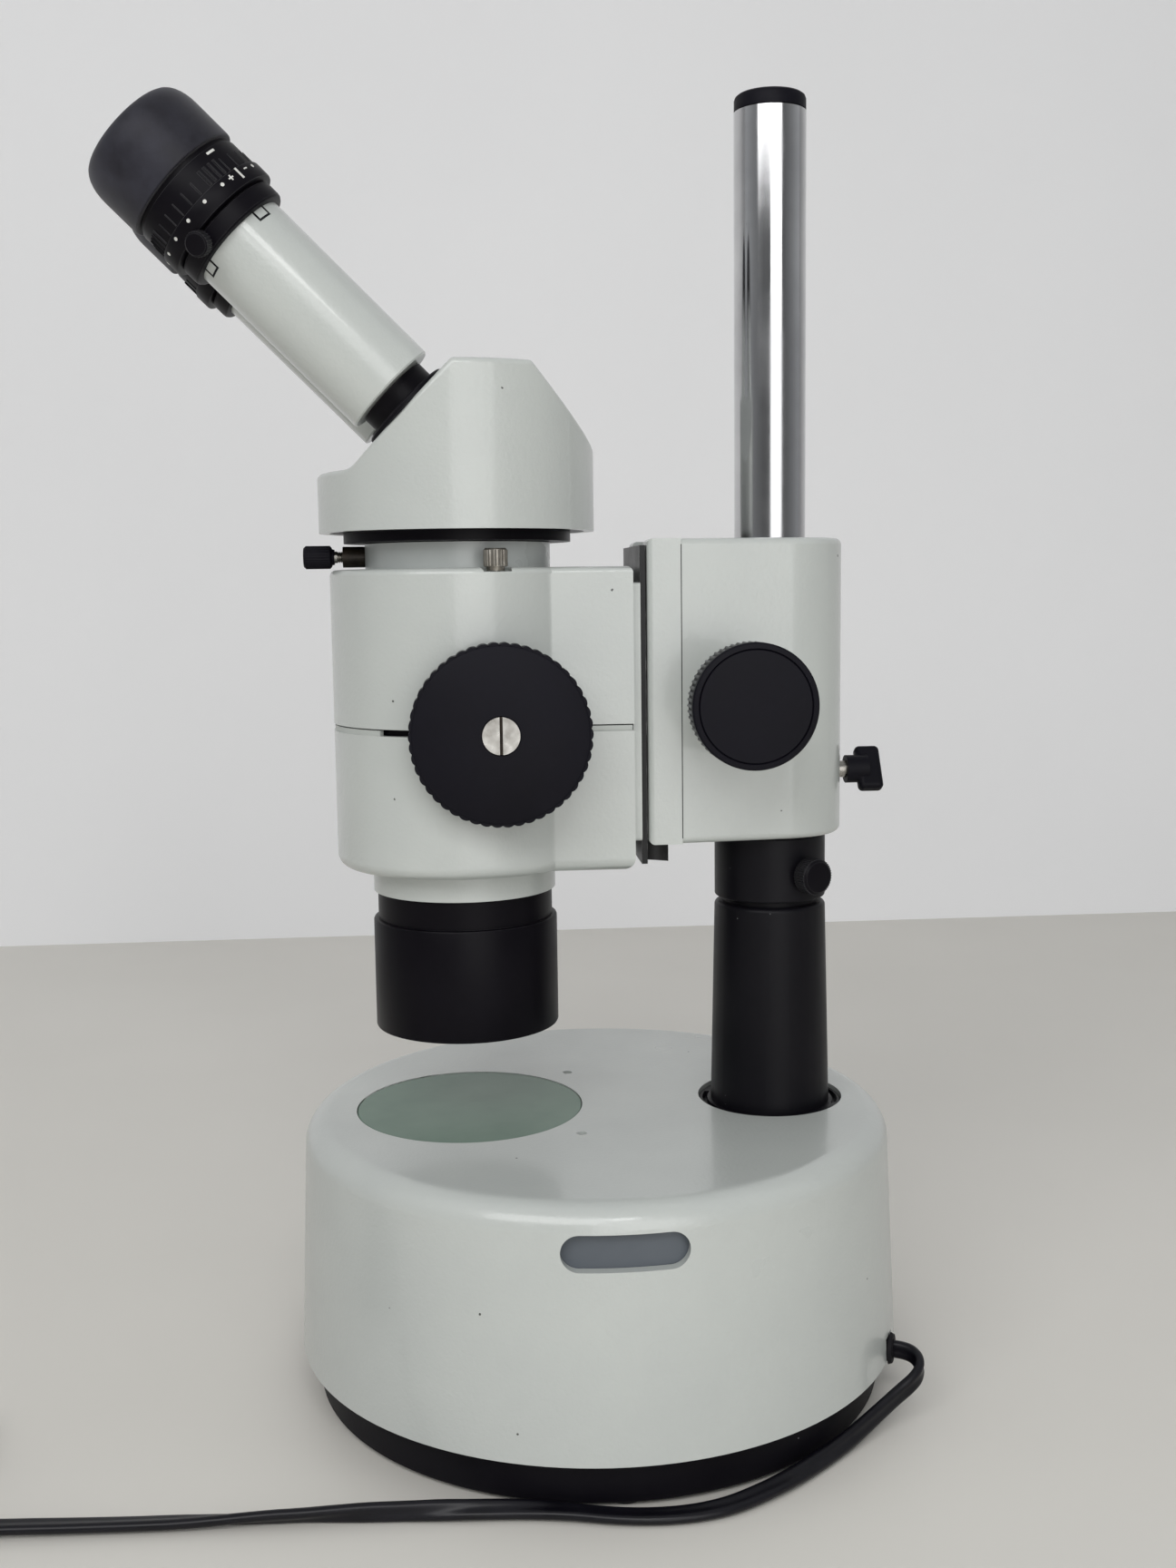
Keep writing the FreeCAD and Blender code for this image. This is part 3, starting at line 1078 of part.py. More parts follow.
def diopter_ring(side):
    """Eyepiece body: dotted ring, ribbed ring and the barrel inside the tube."""
    barrel_low = DIOPTER_LOW_U - EYEPIECE_BARREL_LENGTH
    profile = [(EYEPIECE_BORE_R, barrel_low), (EYEPIECE_BARREL_R, barrel_low),
               (EYEPIECE_BARREL_R, DIOPTER_LOW_U), (DIOPTER_R - 0.6, DIOPTER_LOW_U),
               (DIOPTER_R, DIOPTER_LOW_U + 0.6), (DIOPTER_R, DIOPTER_STEP_U), (DIOPTER_RIB_R, DIOPTER_STEP_U),
               (DIOPTER_RIB_R, DIOPTER_RIB_TOP_U), (DIOPTER_NECK_R, DIOPTER_RIB_TOP_U),
               (DIOPTER_NECK_R, DIOPTER_TOP_U), (EYEPIECE_BORE_R, DIOPTER_TOP_U)]
    return turned(profile, tube_foot(side), TUBE_DIRECTION)


def eyecup(side):
    """Rubber cup on the eyepiece."""
    shoulder = EYECUP_TOP_U - EYECUP_ROUND
    half_turn = math.sqrt(0.5)
    drop = EYECUP_R - EYECUP_TOP_R
    profile = [(EYEPIECE_BORE_R, DIOPTER_TOP_U), (EYECUP_R, DIOPTER_TOP_U), (EYECUP_R, shoulder),
               (EYECUP_TOP_R + drop * half_turn, shoulder + EYECUP_ROUND * half_turn),
               (EYECUP_TOP_R, EYECUP_TOP_U), (EYECUP_R - EYECUP_WALL - 1, EYECUP_TOP_U - 0.8),
               (EYEPIECE_BORE_R, EYE_LENS_LOW_U + EYE_LENS_THICKNESS + 6)]
    return turned(profile, tube_foot(side), TUBE_DIRECTION)


def eye_lens(side):
    foot = tube_foot(side)
    top = EYE_LENS_LOW_U + EYE_LENS_THICKNESS
    profile = [(0, EYE_LENS_LOW_U), (EYE_LENS_R, EYE_LENS_LOW_U), (EYE_LENS_R, top - 1.2),
               (EYE_LENS_R * 0.6, top - 0.4), (0, top)]
    return turned(profile, foot, TUBE_DIRECTION)


# ---- lead -------------------------------------------------------------------------------------
def gland_end():
    """Middle of the gland's outer face, where the lead starts."""
    return radial(GLAND_ANGLE, BASE_LOW_R + GLAND_OUT, GLAND_Z)


def cable_gland():
    """Rubber bush through the pan's rim and the notch in the skirt."""
    foot = radial(GLAND_ANGLE, 0, GLAND_Z)
    skirt = BASE_LOW_R + 0.1
    profile = [(0, PAN_BORE_R - 2), (GLAND_R, PAN_BORE_R - 2), (GLAND_R, skirt), (GLAND_FLANGE_R, skirt),
               (GLAND_FLANGE_R - 0.5, skirt + GLAND_FLANGE), (0, skirt + GLAND_FLANGE)]
    bush = turned(profile, foot, radial(GLAND_ANGLE, 1, 0))
    snout = rod(LEAD_WIDTH / 2 + 0.2, radial(GLAND_ANGLE, skirt, GLAND_Z), gland_end())
    return bush.fuse(snout)


def lead_route():
    """Points of the free lead, chosen by hand, from the gland to the coil."""
    exit_end = radial(GLAND_ANGLE, BASE_LOW_R + GLAND_OUT + LEAD_FIRST_RUN, GLAND_Z)
    return [gland_end(), exit_end, V(51.9, 106.4, 19.0), V(56.4, 106.2, 17.6),
            V(59.9, 103.3, 15.2), V(62.6, 95.6, 10.9), V(67.4, 86.6, 6.4), V(76.0, 76.4, 4.0),
            V(87.4, 63.6, 3.3), V(100.6, 46.6, LEAD_Z), V(110.9, 26.6, LEAD_Z), V(111.4, 1.4, LEAD_Z),
            V(104.6, -25.8, LEAD_Z), V(103.2, -54.4, LEAD_Z), V(100.6, -96.2, LEAD_Z),
            V(99.6, -137.9, LEAD_Z), V(98.6, -167.4, LEAD_Z), V(COIL_ENTRY_X, -195.0, LEAD_Z),
            V(COIL_ENTRY_X, COIL_Y + COIL_ENTRY, LEAD_Z)]


def lead_path():
    """Straight runs joined by tangent arcs, each as large as its two runs allow."""
    points = lead_route()
    edges = []
    radii = []
    start = points[0]
    for before, corner, after in zip(points, points[1:], points[2:]):
        into = (corner - before).normalize()
        away = (after - corner).normalize()
        reach = 0.45 * min((corner - before).Length, (after - corner).Length)
        turn = into.getAngle(away)
        radius = reach / math.tan(turn / 2)
        bisector = (away - into).normalize()
        middle = corner + bisector * (radius / math.cos(turn / 2) - radius)
        first = corner - into * reach
        last = corner + away * reach
        edges += [Part.LineSegment(start, first).toShape(), Part.Arc(first, middle, last).toShape()]
        radii.append(round(radius, 1))
        start = last
    edges.append(Part.LineSegment(start, points[-1]).toShape())
    return Part.Wire(edges), radii


def power_cord():
    path, radii = lead_path()
    start = lead_route()[0]
    way = (lead_route()[1] - start).normalize()
    section = Part.Wire(Part.makeCircle(LEAD_WIDTH / 2, start, way))
    tube = path.makePipeShell([section], True, True)
    expected = math.pi * (LEAD_WIDTH / 2) ** 2 * path.Length
    print("lead radii", radii, "length", round(path.Length, 1), "volume ratio", tube.Volume / expected)
    return tube


def cord_coil():
    """Outer shape of the put-away turns, with the short stretch that leads in."""
    centre = V(COIL_X, COIL_Y, 0)
    ring = washer(COIL_OUTER_R, COIL_INNER_R, 0, COIL_HEIGHT, centre)
    ring = rounded(ring, 1.5, flat_at(COIL_HEIGHT))
    entry = V(COIL_ENTRY_X, COIL_Y + COIL_ENTRY, LEAD_Z)
    return ring.fuse(rod(LEAD_WIDTH / 2, entry, entry - BACK * (COIL_ENTRY - 4)))


def cord_plug():
    """Low-voltage plug with two round pins, lying on the coil."""
    low = COIL_HEIGHT
    body = block((PLUG_X - PLUG_LENGTH / 2, PLUG_X + PLUG_LENGTH / 2),
                 (PLUG_Y - PLUG_WIDTH / 2, PLUG_Y + PLUG_WIDTH / 2), (low, low + PLUG_THICKNESS))
    body = body.makeFillet(2.5, [edge for edge in body.Edges if edge.BoundBox.ZMin > low + 0.1])
    pins = []
    for side in (1, -1):
        start = V(PLUG_X - PLUG_LENGTH / 2, PLUG_Y + side * PLUG_PIN_SPACING / 2, low + PLUG_THICKNESS / 2)
        pins.append(rod(PLUG_PIN_R, start, start - RIGHT * PLUG_PIN_LENGTH))
    return Part.makeCompound([body] + pins)


# ---- assembly ---------------------------------------------------------------------------------
def pieces():
    """Every node's name with its shape."""
    made = {
        "base_housing": base_housing(), "base_plate": base_plate(), "rubber_feet": rubber_feet(),
        "base_screws": base_screws(), "vent_lining": vent_lining(), "stage_glass": stage_glass(),
        "mirror": mirror(), "mirror_bracket": mirror_bracket(), "lamp_socket": lamp_socket(),
        "lamp_bulb": lamp_bulb(), "cable_gland": cable_gland(), "power_cord": power_cord(),
        "cord_coil": cord_coil(), "cord_plug": cord_plug(),
        "pillar_foot": pillar_foot(), "pillar_sleeve": pillar_sleeve(), "column": column(),
        "column_cap": column_cap(), "stop_collar": stop_collar(), "collar_screw": collar_screw(),
        "drive_housing": drive_housing(), "drive_front_plate": drive_front_plate(),
        "focus_carriage": focus_carriage(), "focus_rack": focus_rack(), "pinion_shaft": pinion_shaft(),
        "wing_screw_shank": wing_screw_shank(), "wing_screw_handle": wing_screw_handle(),
        "body_upper_shell": body_upper_shell(), "body_lower_shell": body_lower_shell(),
        "body_bracket": body_bracket(), "body_chassis": body_chassis(), "zoom_shaft": zoom_shaft(),
        "knob_screws": knob_screws(), "upper_lens_carriage": lens_carriage(UPPER_LENS_Z),
        "lower_lens_carriage": lens_carriage(LOWER_LENS_Z), "objective_barrel": objective_barrel(),
        "objective_lens": objective_lens(), "head_ring": head_ring(),
        "head_clamp_screw": head_clamp_screw(), "top_screw": top_screw(), "head_disc": head_disc(),
        "head_housing": head_housing(), "head_prisms": head_prisms(), "tube_necks": tube_necks(),
    }
    for side, word in ((1, "right"), (-1, "left")):
        made["focus_knob_" + word] = focus_knob(side)
        made["zoom_knob_" + word] = zoom_knob(side)
        made["eyepiece_tube_" + word] = eyepiece_tube(side)
        made["clamp_ring_" + word] = clamp_ring(side)
        made["lock_screw_" + word] = lock_screw(side)
        made["diopter_ring_" + word] = diopter_ring(side)
        made["eyecup_" + word] = eyecup(side)
        made["eye_lens_" + word] = eye_lens(side)
    return made


os.makedirs("parts", exist_ok=True)
for name, shape in pieces().items():
    shape.exportStep("parts/" + name + ".step")
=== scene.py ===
"""Looks of a stereo zoom microscope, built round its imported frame.

Sizes are in millimetres in the row's frame: +Z up, the user on the -Y side, +X the user's
right hand.  Meshes are turned to metres when they are made.
"""
import logging
import math
from dataclasses import dataclass
from enum import Enum

import bmesh
import bpy
from mathutils import Matrix, Vector


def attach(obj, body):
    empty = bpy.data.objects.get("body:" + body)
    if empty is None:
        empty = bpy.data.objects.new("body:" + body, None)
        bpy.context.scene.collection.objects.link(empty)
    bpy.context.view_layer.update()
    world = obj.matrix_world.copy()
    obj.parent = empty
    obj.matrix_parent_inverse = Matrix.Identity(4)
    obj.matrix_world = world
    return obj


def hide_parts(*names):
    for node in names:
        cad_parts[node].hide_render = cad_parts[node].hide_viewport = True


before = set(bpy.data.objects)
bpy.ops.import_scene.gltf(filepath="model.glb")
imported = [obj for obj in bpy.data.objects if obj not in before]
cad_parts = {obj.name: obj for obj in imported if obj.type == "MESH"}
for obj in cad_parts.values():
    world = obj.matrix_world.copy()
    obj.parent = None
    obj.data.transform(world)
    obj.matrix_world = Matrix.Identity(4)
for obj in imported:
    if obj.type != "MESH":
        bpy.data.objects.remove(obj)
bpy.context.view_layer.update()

logging.basicConfig(level=logging.INFO, format="%(message)s")
LOG = logging.getLogger("microscope")

Point = tuple[float, float, float]
Profile = list[tuple[float, float]]

MM = 0.001
RIGHT = Vector((1, 0, 0))
BACK = Vector((0, 1, 0))
UP = Vector((0, 0, 1))
TUBE_WAY = Vector((0, -1, 1)).normalized()
TUBE_ACROSS = Vector((0, 1, 1)).normalized()
OPTIC_Y = -46.0
COLUMN_Y = 64.4
SMOOTH_ANGLE = math.radians(28)
FLAT_ANGLE = math.radians(0.2)   # facets closer than this lie in one plane
MERGE_DISTANCE = 2e-6            # loose triangle corners closer than this, in metres, are one
NORMAL_WEIGHT = 90               # how far large faces rule the normals of the small ones beside them
ROUND = 96                       # facets round a turned piece
PAINT_SINK = 0.1                 # depth of a painted mark's foot in the surface under it


class Side(Enum):
    """Which of two mirrored pieces is meant; the value is the sign of its X."""

    RIGHT = 1
    LEFT = -1

    @property
    def word(self) -> str:
        """Ending of the piece's name."""
        return self.name.lower()


# ---- finishes ---------------------------------------------------------------------------------
def linear(code: str) -> tuple[float, float, float, float]:
    """Turn an sRGB hex colour to linear RGBA.

    Args:
        code: Six hex digits after a hash sign.

    Returns:
        The colour with alpha 1.
    """
    values = [int(code[i:i + 2], 16) / 255 for i in (1, 3, 5)]
    red, green, blue = (v / 12.92 if v <= 0.04045 else ((v + 0.055) / 1.055) ** 2.4 for v in values)
    return red, green, blue, 1.0


def add_node(tree: bpy.types.NodeTree, kind: str, settings: dict | None = None,
             links: dict | None = None) -> bpy.types.Node:
    """Add a node with its settings and incoming links.

    Args:
        tree: Tree to add to.
        kind: Identifier of the node's type.
        settings: Attribute or input (by name or number) to value, set in order.
        links: Input, by name or number, to the output socket that feeds it.

    Returns:
        The new node.
    """
    node = tree.nodes.new(kind)
    for key, value in (settings or {}).items():
        if isinstance(key, int) or key in node.inputs:
            node.inputs[key].default_value = value
        else:
            setattr(node, key, value)
    for key, source in (links or {}).items():
        tree.links.new(source, node.inputs[key])
    return node


@dataclass(frozen=True)
class Finish:
    """A surface: what it is made of and how it was worked.

    Pattern sizes are real sizes in millimetres; depths are the height of the grain.
    """

    name: str
    slot: str
    colour: str
    drift_colour: str
    roughness: float
    drift_mm: float = 45.0
    gloss_spread: float = 0.06
    grain_mm: float = 0.6
    grain_depth_mm: float = 0.01
    grain_stretch: tuple[float, float, float] = (1.0, 1.0, 1.0)
    metallic: float = 0.0
    coat: float = 0.0
    coat_roughness: float = 0.2
    sheen: float = 0.0
    specular: float = 0.5
    transmission: float = 0.0
    ior: float = 1.5
    speck_colour: str = "#000000"
    speck_mm: float = 0.0
    speck_share: float = 0.0
    worn_colour: str = ""
    worn_mm: float = 0.35

    def material(self) -> bpy.types.Material:
        """Node material of this finish, built the first time it is asked for."""
        found = bpy.data.materials.get(self.name)
        return found or self._build()

    def _build(self) -> bpy.types.Material:
        """Build the node tree: drift, specks and wear in the colour, drift in the gloss, grain in the bump.

        Returns:
            The new material.
        """
        material = bpy.data.materials.new(self.name)
        material.use_nodes = True
        tree = material.node_tree
        tree.nodes.clear()
        place = add_node(tree, "ShaderNodeTexCoord").outputs["Object"]
        drift = add_node(tree, "ShaderNodeTexNoise", {"Scale": 1000 / self.drift_mm, "Detail": 4.0,
                                                      "Roughness": 0.6}, {"Vector": place})
        shade = add_node(tree, "ShaderNodeMapRange", {"From Min": 0.35, "From Max": 0.68},
                         {"Value": drift.outputs["Fac"]})
        colour = add_node(tree, "ShaderNodeMix", {"data_type": "RGBA", 6: linear(self.colour),
                                                  7: linear(self.drift_colour)},
                          {0: shade.outputs["Result"]}).outputs[2]
        if self.speck_share:
            colour = self._specks(tree, place, colour)
        if self.worn_colour:
            colour = self._wear(tree, drift.outputs["Fac"], colour)
        stretched = add_node(tree, "ShaderNodeMapping", {"Scale": self.grain_stretch}, {"Vector": place})
        grain = add_node(tree, "ShaderNodeTexNoise", {"Scale": 1000 / self.grain_mm, "Detail": 2.0},
                         {"Vector": stretched.outputs["Vector"]})
        gloss = add_node(tree, "ShaderNodeMapRange", {"From Min": 0.3, "From Max": 0.7,
                                                      "To Min": self.roughness - self.gloss_spread,
                                                      "To Max": self.roughness + self.gloss_spread},
                         {"Value": drift.outputs["Fac"]})
        bump = add_node(tree, "ShaderNodeBump", {"Distance": self.grain_depth_mm * MM, "Strength": 1.0},
                        {"Height": grain.outputs["Fac"]})
        shader = add_node(tree, "ShaderNodeBsdfPrincipled",
                          {"Metallic": self.metallic, "Coat Weight": self.coat,
                           "Coat Roughness": self.coat_roughness, "Sheen Weight": self.sheen,
                           "Specular IOR Level": self.specular,
                           "Transmission Weight": self.transmission},
                          {"Base Color": colour, "Roughness": gloss.outputs["Result"],
                           "Normal": bump.outputs["Normal"]})
        if not self.metallic:
            shader.inputs["IOR"].default_value = self.ior
        add_node(tree, "ShaderNodeOutputMaterial", links={"Surface": shader.outputs["BSDF"]})
        return material

    def _specks(self, tree: bpy.types.NodeTree, place: bpy.types.NodeSocket,
                colour: bpy.types.NodeSocket) -> bpy.types.NodeSocket:
        """Lay sparse specks, such as chips or dust, over a colour.

        Args:
            tree: Material's tree.
            place: Object coordinates.
            colour: Colour below the specks.

        Returns:
            The colour with the specks on it.
        """
        scale = 1000 / (self.speck_mm * 8)
        cells = add_node(tree, "ShaderNodeTexVoronoi", {"Scale": scale}, {"Vector": place})
        ragged = add_node(tree, "ShaderNodeTexNoise", {"Scale": 1000 / self.speck_mm, "Detail": 3.0},
                          {"Vector": place})
        near = add_node(tree, "ShaderNodeMath", {"operation": "MULTIPLY_ADD", 1: 0.12, 2: -0.06},
                        {0: ragged.outputs["Fac"]})
        edge = add_node(tree, "ShaderNodeMath", {"operation": "ADD"},
                        {0: cells.outputs["Distance"], 1: near.outputs["Value"]})
        spot = add_node(tree, "ShaderNodeMath", {"operation": "LESS_THAN", 1: 0.07},
                        {0: edge.outputs["Value"]})
        pick = add_node(tree, "ShaderNodeSeparateColor", links={"Color": cells.outputs["Color"]})
        chosen = add_node(tree, "ShaderNodeMath", {"operation": "LESS_THAN", 1: self.speck_share},
                          {0: pick.outputs["Red"]})
        both = add_node(tree, "ShaderNodeMath", {"operation": "MULTIPLY"},
                        {0: spot.outputs["Value"], 1: chosen.outputs["Value"]})
        return add_node(tree, "ShaderNodeMix", {"data_type": "RGBA", 7: linear(self.speck_colour)},
                        {0: both.outputs["Value"], 6: colour}).outputs[2]

    def _wear(self, tree: bpy.types.NodeTree, broken: bpy.types.NodeSocket,
              colour: bpy.types.NodeSocket) -> bpy.types.NodeSocket:
        """Rub the colour off along edges, where hands and tools touch.

        Args:
            tree: Material's tree.
            broken: Slow noise that breaks the wear up.
            colour: Colour of the unworn surface.

        Returns:
            The colour with worn edges.
        """
        soft = add_node(tree, "ShaderNodeBevel", {"samples": 4, "Radius": self.worn_mm * MM})
        sharp = add_node(tree, "ShaderNodeNewGeometry")
        match = add_node(tree, "ShaderNodeVectorMath", {"operation": "DOT_PRODUCT"},
                         {0: soft.outputs["Normal"], 1: sharp.outputs["Normal"]})
        edge = add_node(tree, "ShaderNodeMapRange", {"From Min": 0.985, "From Max": 0.9},
                        {"Value": match.outputs["Value"]})
        patch = add_node(tree, "ShaderNodeMapRange", {"From Min": 0.42, "From Max": 0.6, "To Max": 0.8},
                         {"Value": broken})
        rubbed = add_node(tree, "ShaderNodeMath", {"operation": "MULTIPLY"},
                          {0: edge.outputs["Result"], 1: patch.outputs["Result"]})
        return add_node(tree, "ShaderNodeMix", {"data_type": "RGBA", 7: linear(self.worn_colour)},
                        {0: rubbed.outputs["Value"], 6: colour}).outputs[2]


# Two-pack enamel sprayed on aluminium castings: orange peel breaks its highlights up, and a few
# chips show the dark primer.
ENAMEL = Finish("grey_orange_peel_enamel", "grey_enamel", "#C3C7C3", "#BCC0BD", 0.33, drift_mm=90,
                grain_mm=1.5, grain_depth_mm=0.12, coat=0.5, coat_roughness=0.12,
                speck_colour="#4A4B48", speck_mm=0.8, speck_share=0.03)
# The same enamel inside the seam, never polished by hands, so duller.
SEAM_ENAMEL = Finish("dull_seam_enamel", "grey_enamel", "#BCC0BC", "#B2B6B2", 0.5, grain_mm=1.3,
                     grain_depth_mm=0.03)
# The head's seat ring: the same paint, sprayed thinner and smoother.
RING_PAINT = Finish("thin_grey_enamel", "grey_enamel", "#C4C8C6", "#BABFBD", 0.3, drift_mm=30,
                    grain_mm=0.9, grain_depth_mm=0.02, coat=0.2)
# Black stove enamel on turned steel: a satin skin with fine dust in it.
BLACK_ENAMEL = Finish("black_stove_enamel", "black_enamel", "#0C0B10", "#111015", 0.42, specular=0.16,
                      grain_mm=0.9, grain_depth_mm=0.012, speck_colour="#6D6E70", speck_mm=0.35,
                      speck_share=0.03)
# Black anodised aluminium, bead blasted first: even, matt, and grey only where an edge is rubbed.
BLACK_ANODISED = Finish("black_anodised_aluminium", "black_anodised", "#0A080D", "#0F0D13", 0.4,
                        specular=0.1, grain_mm=0.7, grain_depth_mm=0.006, worn_colour="#4A4A4C")
# Slide of the focus rack: anodised dark, its edges rubbed back to bright metal.
RUBBED_RAIL = Finish("rubbed_slide", "black_anodised", "#1B1B1C", "#262627", 0.4, drift_mm=18,
                     specular=0.25, grain_mm=0.6, grain_depth_mm=0.01, worn_colour="#BDBEBE", worn_mm=0.4)
# Cast aluminium pan under the base, painted black and scuffed near the table.
PAN_PAINT = Finish("black_pan_paint", "black_enamel", "#0D0B11", "#141318", 0.5, specular=0.12,
                   grain_mm=1.6, grain_depth_mm=0.03, speck_colour="#77787A", speck_mm=0.5, speck_share=0.03)
# Phenolic moulded knobs: very dark, with a fine matt texture and a few specks of dust.
MOULDED_BLACK = Finish("moulded_phenolic", "black_knob", "#0D0C13", "#13121A", 0.5, specular=0.12,
                       grain_mm=0.5, grain_depth_mm=0.012, speck_colour="#8A8B8E", speck_mm=0.3,
                       speck_share=0.02)
# Ribbed metal grip of the focus knobs, dusty between its ribs.
GREY_GRIP = Finish("dusty_ribbed_grip", "black_knob", "#4A4B4C", "#77797A", 0.55, drift_mm=9,
                   grain_mm=0.6, grain_depth_mm=0.03)
# Hard chrome over ground steel: mirror bright, dulled in patches by years of clamping.
COLUMN_CHROME = Finish("hard_chrome", "column_chrome", "#D2D2D3", "#BEBEC0", 0.14, drift_mm=38,
                       gloss_spread=0.07, grain_mm=2.4, grain_depth_mm=0.004,
                       grain_stretch=(1.0, 1.0, 0.12), metallic=1.0, speck_colour="#6F6A64",
                       speck_mm=0.5, speck_share=0.10)
# Nickelled steel screw heads, spotted with old rust.
SPOTTED_STEEL = Finish("spotted_nickelled_steel", "bright_steel", "#B4B2AE", "#96938E", 0.36,
                       drift_mm=5, gloss_spread=0.12, grain_mm=0.5, grain_depth_mm=0.01, metallic=0.85,
                       speck_colour="#5B4334", speck_mm=0.28, speck_share=0.28)
# Painted shade in a screw's slot: its faces darkened to brown-black.
SLOT_SHADE = Finish("slot_painted_shade", "bright_steel", "#2B2520", "#3B332B", 0.7, drift_mm=2, grain_mm=0.4,
                   grain_depth_mm=0.02, specular=0.2)
# Plain turned steel, with the tool's fine rings.
TURNED_STEEL = Finish("turned_steel", "bright_steel", "#A9A7A2", "#8F8C86", 0.28, drift_mm=8,
                      grain_mm=0.4, grain_depth_mm=0.01, metallic=1.0)
# Knurled steel gone grey-brown with handling.
OLD_STEEL = Finish("handled_knurled_steel", "bright_steel", "#9C9890", "#77726A", 0.4, drift_mm=4,
                   grain_mm=0.4, grain_depth_mm=0.02, metallic=0.9)
# Bronze-brown sleeve of the head's clamp screw: blackened brass rubbed back to its own colour.
BROWN_SLEEVE = Finish("blackened_brass", "black_anodised", "#26211D", "#3A322A", 0.42, drift_mm=5,
                      grain_mm=0.5, grain_depth_mm=0.02, metallic=0.5)
# Milled brass rack: yellow metal with the cutter's fine lines.
CUT_BRASS = Finish("cut_brass", "gear_brass", "#C8A15A", "#B08A48", 0.3, drift_mm=12, grain_mm=0.5,
                   grain_depth_mm=0.01, metallic=1.0)
# Rubber eyecups: matt black, bloomed grey and wiped in patches by the user's brow.
CUP_RUBBER = Finish("bloomed_rubber", "black_rubber", "#1B1A22", "#34343E", 0.55, specular=0.25,
                    drift_mm=22, gloss_spread=0.1, grain_mm=0.6, grain_depth_mm=0.02, sheen=0.12)
# Rubber feet and the lead's bush, and the dark strip of painted shade in the drive's joint: dull, near black,
# no bloom.
FOOT_RUBBER = Finish("plain_rubber", "black_rubber", "#121114", "#1A191D", 0.7, specular=0.2, grain_mm=0.8,
                     grain_depth_mm=0.04)
# Flexible vinyl on the lead: satin, with long soft reflections and a little lint.
LEAD_VINYL = Finish("satin_vinyl", "cord_sheath", "#0B0A10", "#121118", 0.34, specular=0.3, drift_mm=18,
                    grain_mm=1.8, grain_depth_mm=0.03, speck_colour="#5E5F63", speck_mm=0.3,
                    speck_share=0.02)
# Ground glass over the mirror box: green in its depth, with a grain too fine to glitter.
FROSTED_GLASS = Finish("frosted_green_glass", "stage_plate", "#668170", "#5A7565", 0.42, drift_mm=55,
                       gloss_spread=0.04, grain_mm=0.5, grain_depth_mm=0.006, coat=0.3,
                       coat_roughness=0.35)
# Multi-coated lens glass, drawn opaque: its near-black colour is painted shade of the dark mount behind it,
# with a violet bloom.
SHADED_LENS_GLASS = Finish("shaded_coated_lens_glass", "optical_glass", "#141225", "#1B1A33", 0.05, drift_mm=20,
                      gloss_spread=0.02, grain_mm=5, grain_depth_mm=0.0005, coat=1.0,
                      coat_roughness=0.03, ior=1.6)
# Prisms and lamp envelope: clear polished glass.
CLEAR_GLASS = Finish("clear_glass", "optical_glass", "#E6EEF0", "#DCE8EA", 0.06, gloss_spread=0.02,
                     grain_mm=5, grain_depth_mm=0.0005, transmission=0.95)
# Mirror silvered on its front, so bright and without a second image.
SILVER = Finish("front_silvering", "silvered_mirror", "#E9E9EA", "#E2E2E4", 0.04, gloss_spread=0.01,
                grain_mm=6, grain_depth_mm=0.0005, metallic=1.0)
# Painted sheet behind the slots, blue-grey in the shade.
GREY_SHEET = Finish("blue_grey_sheet", "grey_sheet", "#5C6269", "#545A61", 0.5, grain_mm=1.0,
                    grain_depth_mm=0.01)
# White paint filled into engraved marks.
MARK_WHITE = Finish("engraved_white_paint", "black_anodised", "#DADAD6", "#C9C9C4", 0.6, drift_mm=3,
                    grain_mm=0.3, grain_depth_mm=0.01)


# ---- pieces -----------------------------------------------------------------------------------
def frame_of(foot: Vector, way: Vector, across: Vector) -> Matrix:
    """Matrix from a piece's own frame, in millimetres, to the row's frame, in metres.

    Args:
        foot: Where the piece's own origin goes, in millimetres.
        way: Direction of the piece's own Z.
        across: Direction of the piece's own Y; only its part square to way counts.

    Returns:
        The matrix.
    """
    z = way.normalized()
    x = across.cross(z).normalized()
    y = z.cross(x)
    turn = Matrix((x, y, z)).transposed().to_4x4()
    return Matrix.Translation(foot * MM) @ turn @ Matrix.Scale(MM, 4)


def link(name: str, mesh: bpy.types.Mesh, finish: Finish, body: str, *nodes: str) -> bpy.types.Object:
    """Make a finished mesh a piece that rides on a body.

    Args:
        name: Piece's name.
        mesh: Its mesh, already in place.
        finish: Its finish, also where the mesh has no material yet.
        body: CAD body that it rides on.
        nodes: CAD nodes that it stands for.

    Returns:
        The piece.
    """
    if not mesh.materials:
        mesh.materials.append(finish.material())
    piece = bpy.data.objects.new(name, mesh)
    bpy.context.scene.collection.objects.link(piece)
    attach(piece, body)
    if nodes:
        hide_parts(*nodes)
    LOG.info("piece %s: %d faces on %s", name, len(mesh.polygons), body)
    return piece


def shade(mesh: bpy.types.Mesh, angle: float = SMOOTH_ANGLE) -> bpy.types.Mesh:
    """Shade a mesh smoothly, with sharp edges where it turns sharply.

    Args:
        mesh: The mesh.
        angle: The least turn, in radians, that makes an edge sharp.

    Returns:
        The same mesh.
    """
    mesh.shade_smooth()
    mesh.set_sharp_from_angle(angle=angle)
    return mesh


def weigh_normals(mesh: bpy.types.Mesh) -> bpy.types.Mesh:
    """Weigh normals by face area, so that flat faces stay flat beside their rounded edges.

    Args:
        mesh: A merged and shaded mesh.

    Returns:
        A new mesh with the weighed normals.
    """
    holder = bpy.data.objects.new("weighing", mesh)
    bpy.context.scene.collection.objects.link(holder)
    modifier = holder.modifiers.new("weigh", "WEIGHTED_NORMAL")
    modifier.keep_sharp = True
    modifier.weight = NORMAL_WEIGHT
    view = bpy.context.evaluated_depsgraph_get()
    result = bpy.data.meshes.new_from_object(holder.evaluated_get(view))
    bpy.data.objects.remove(holder)
    return result


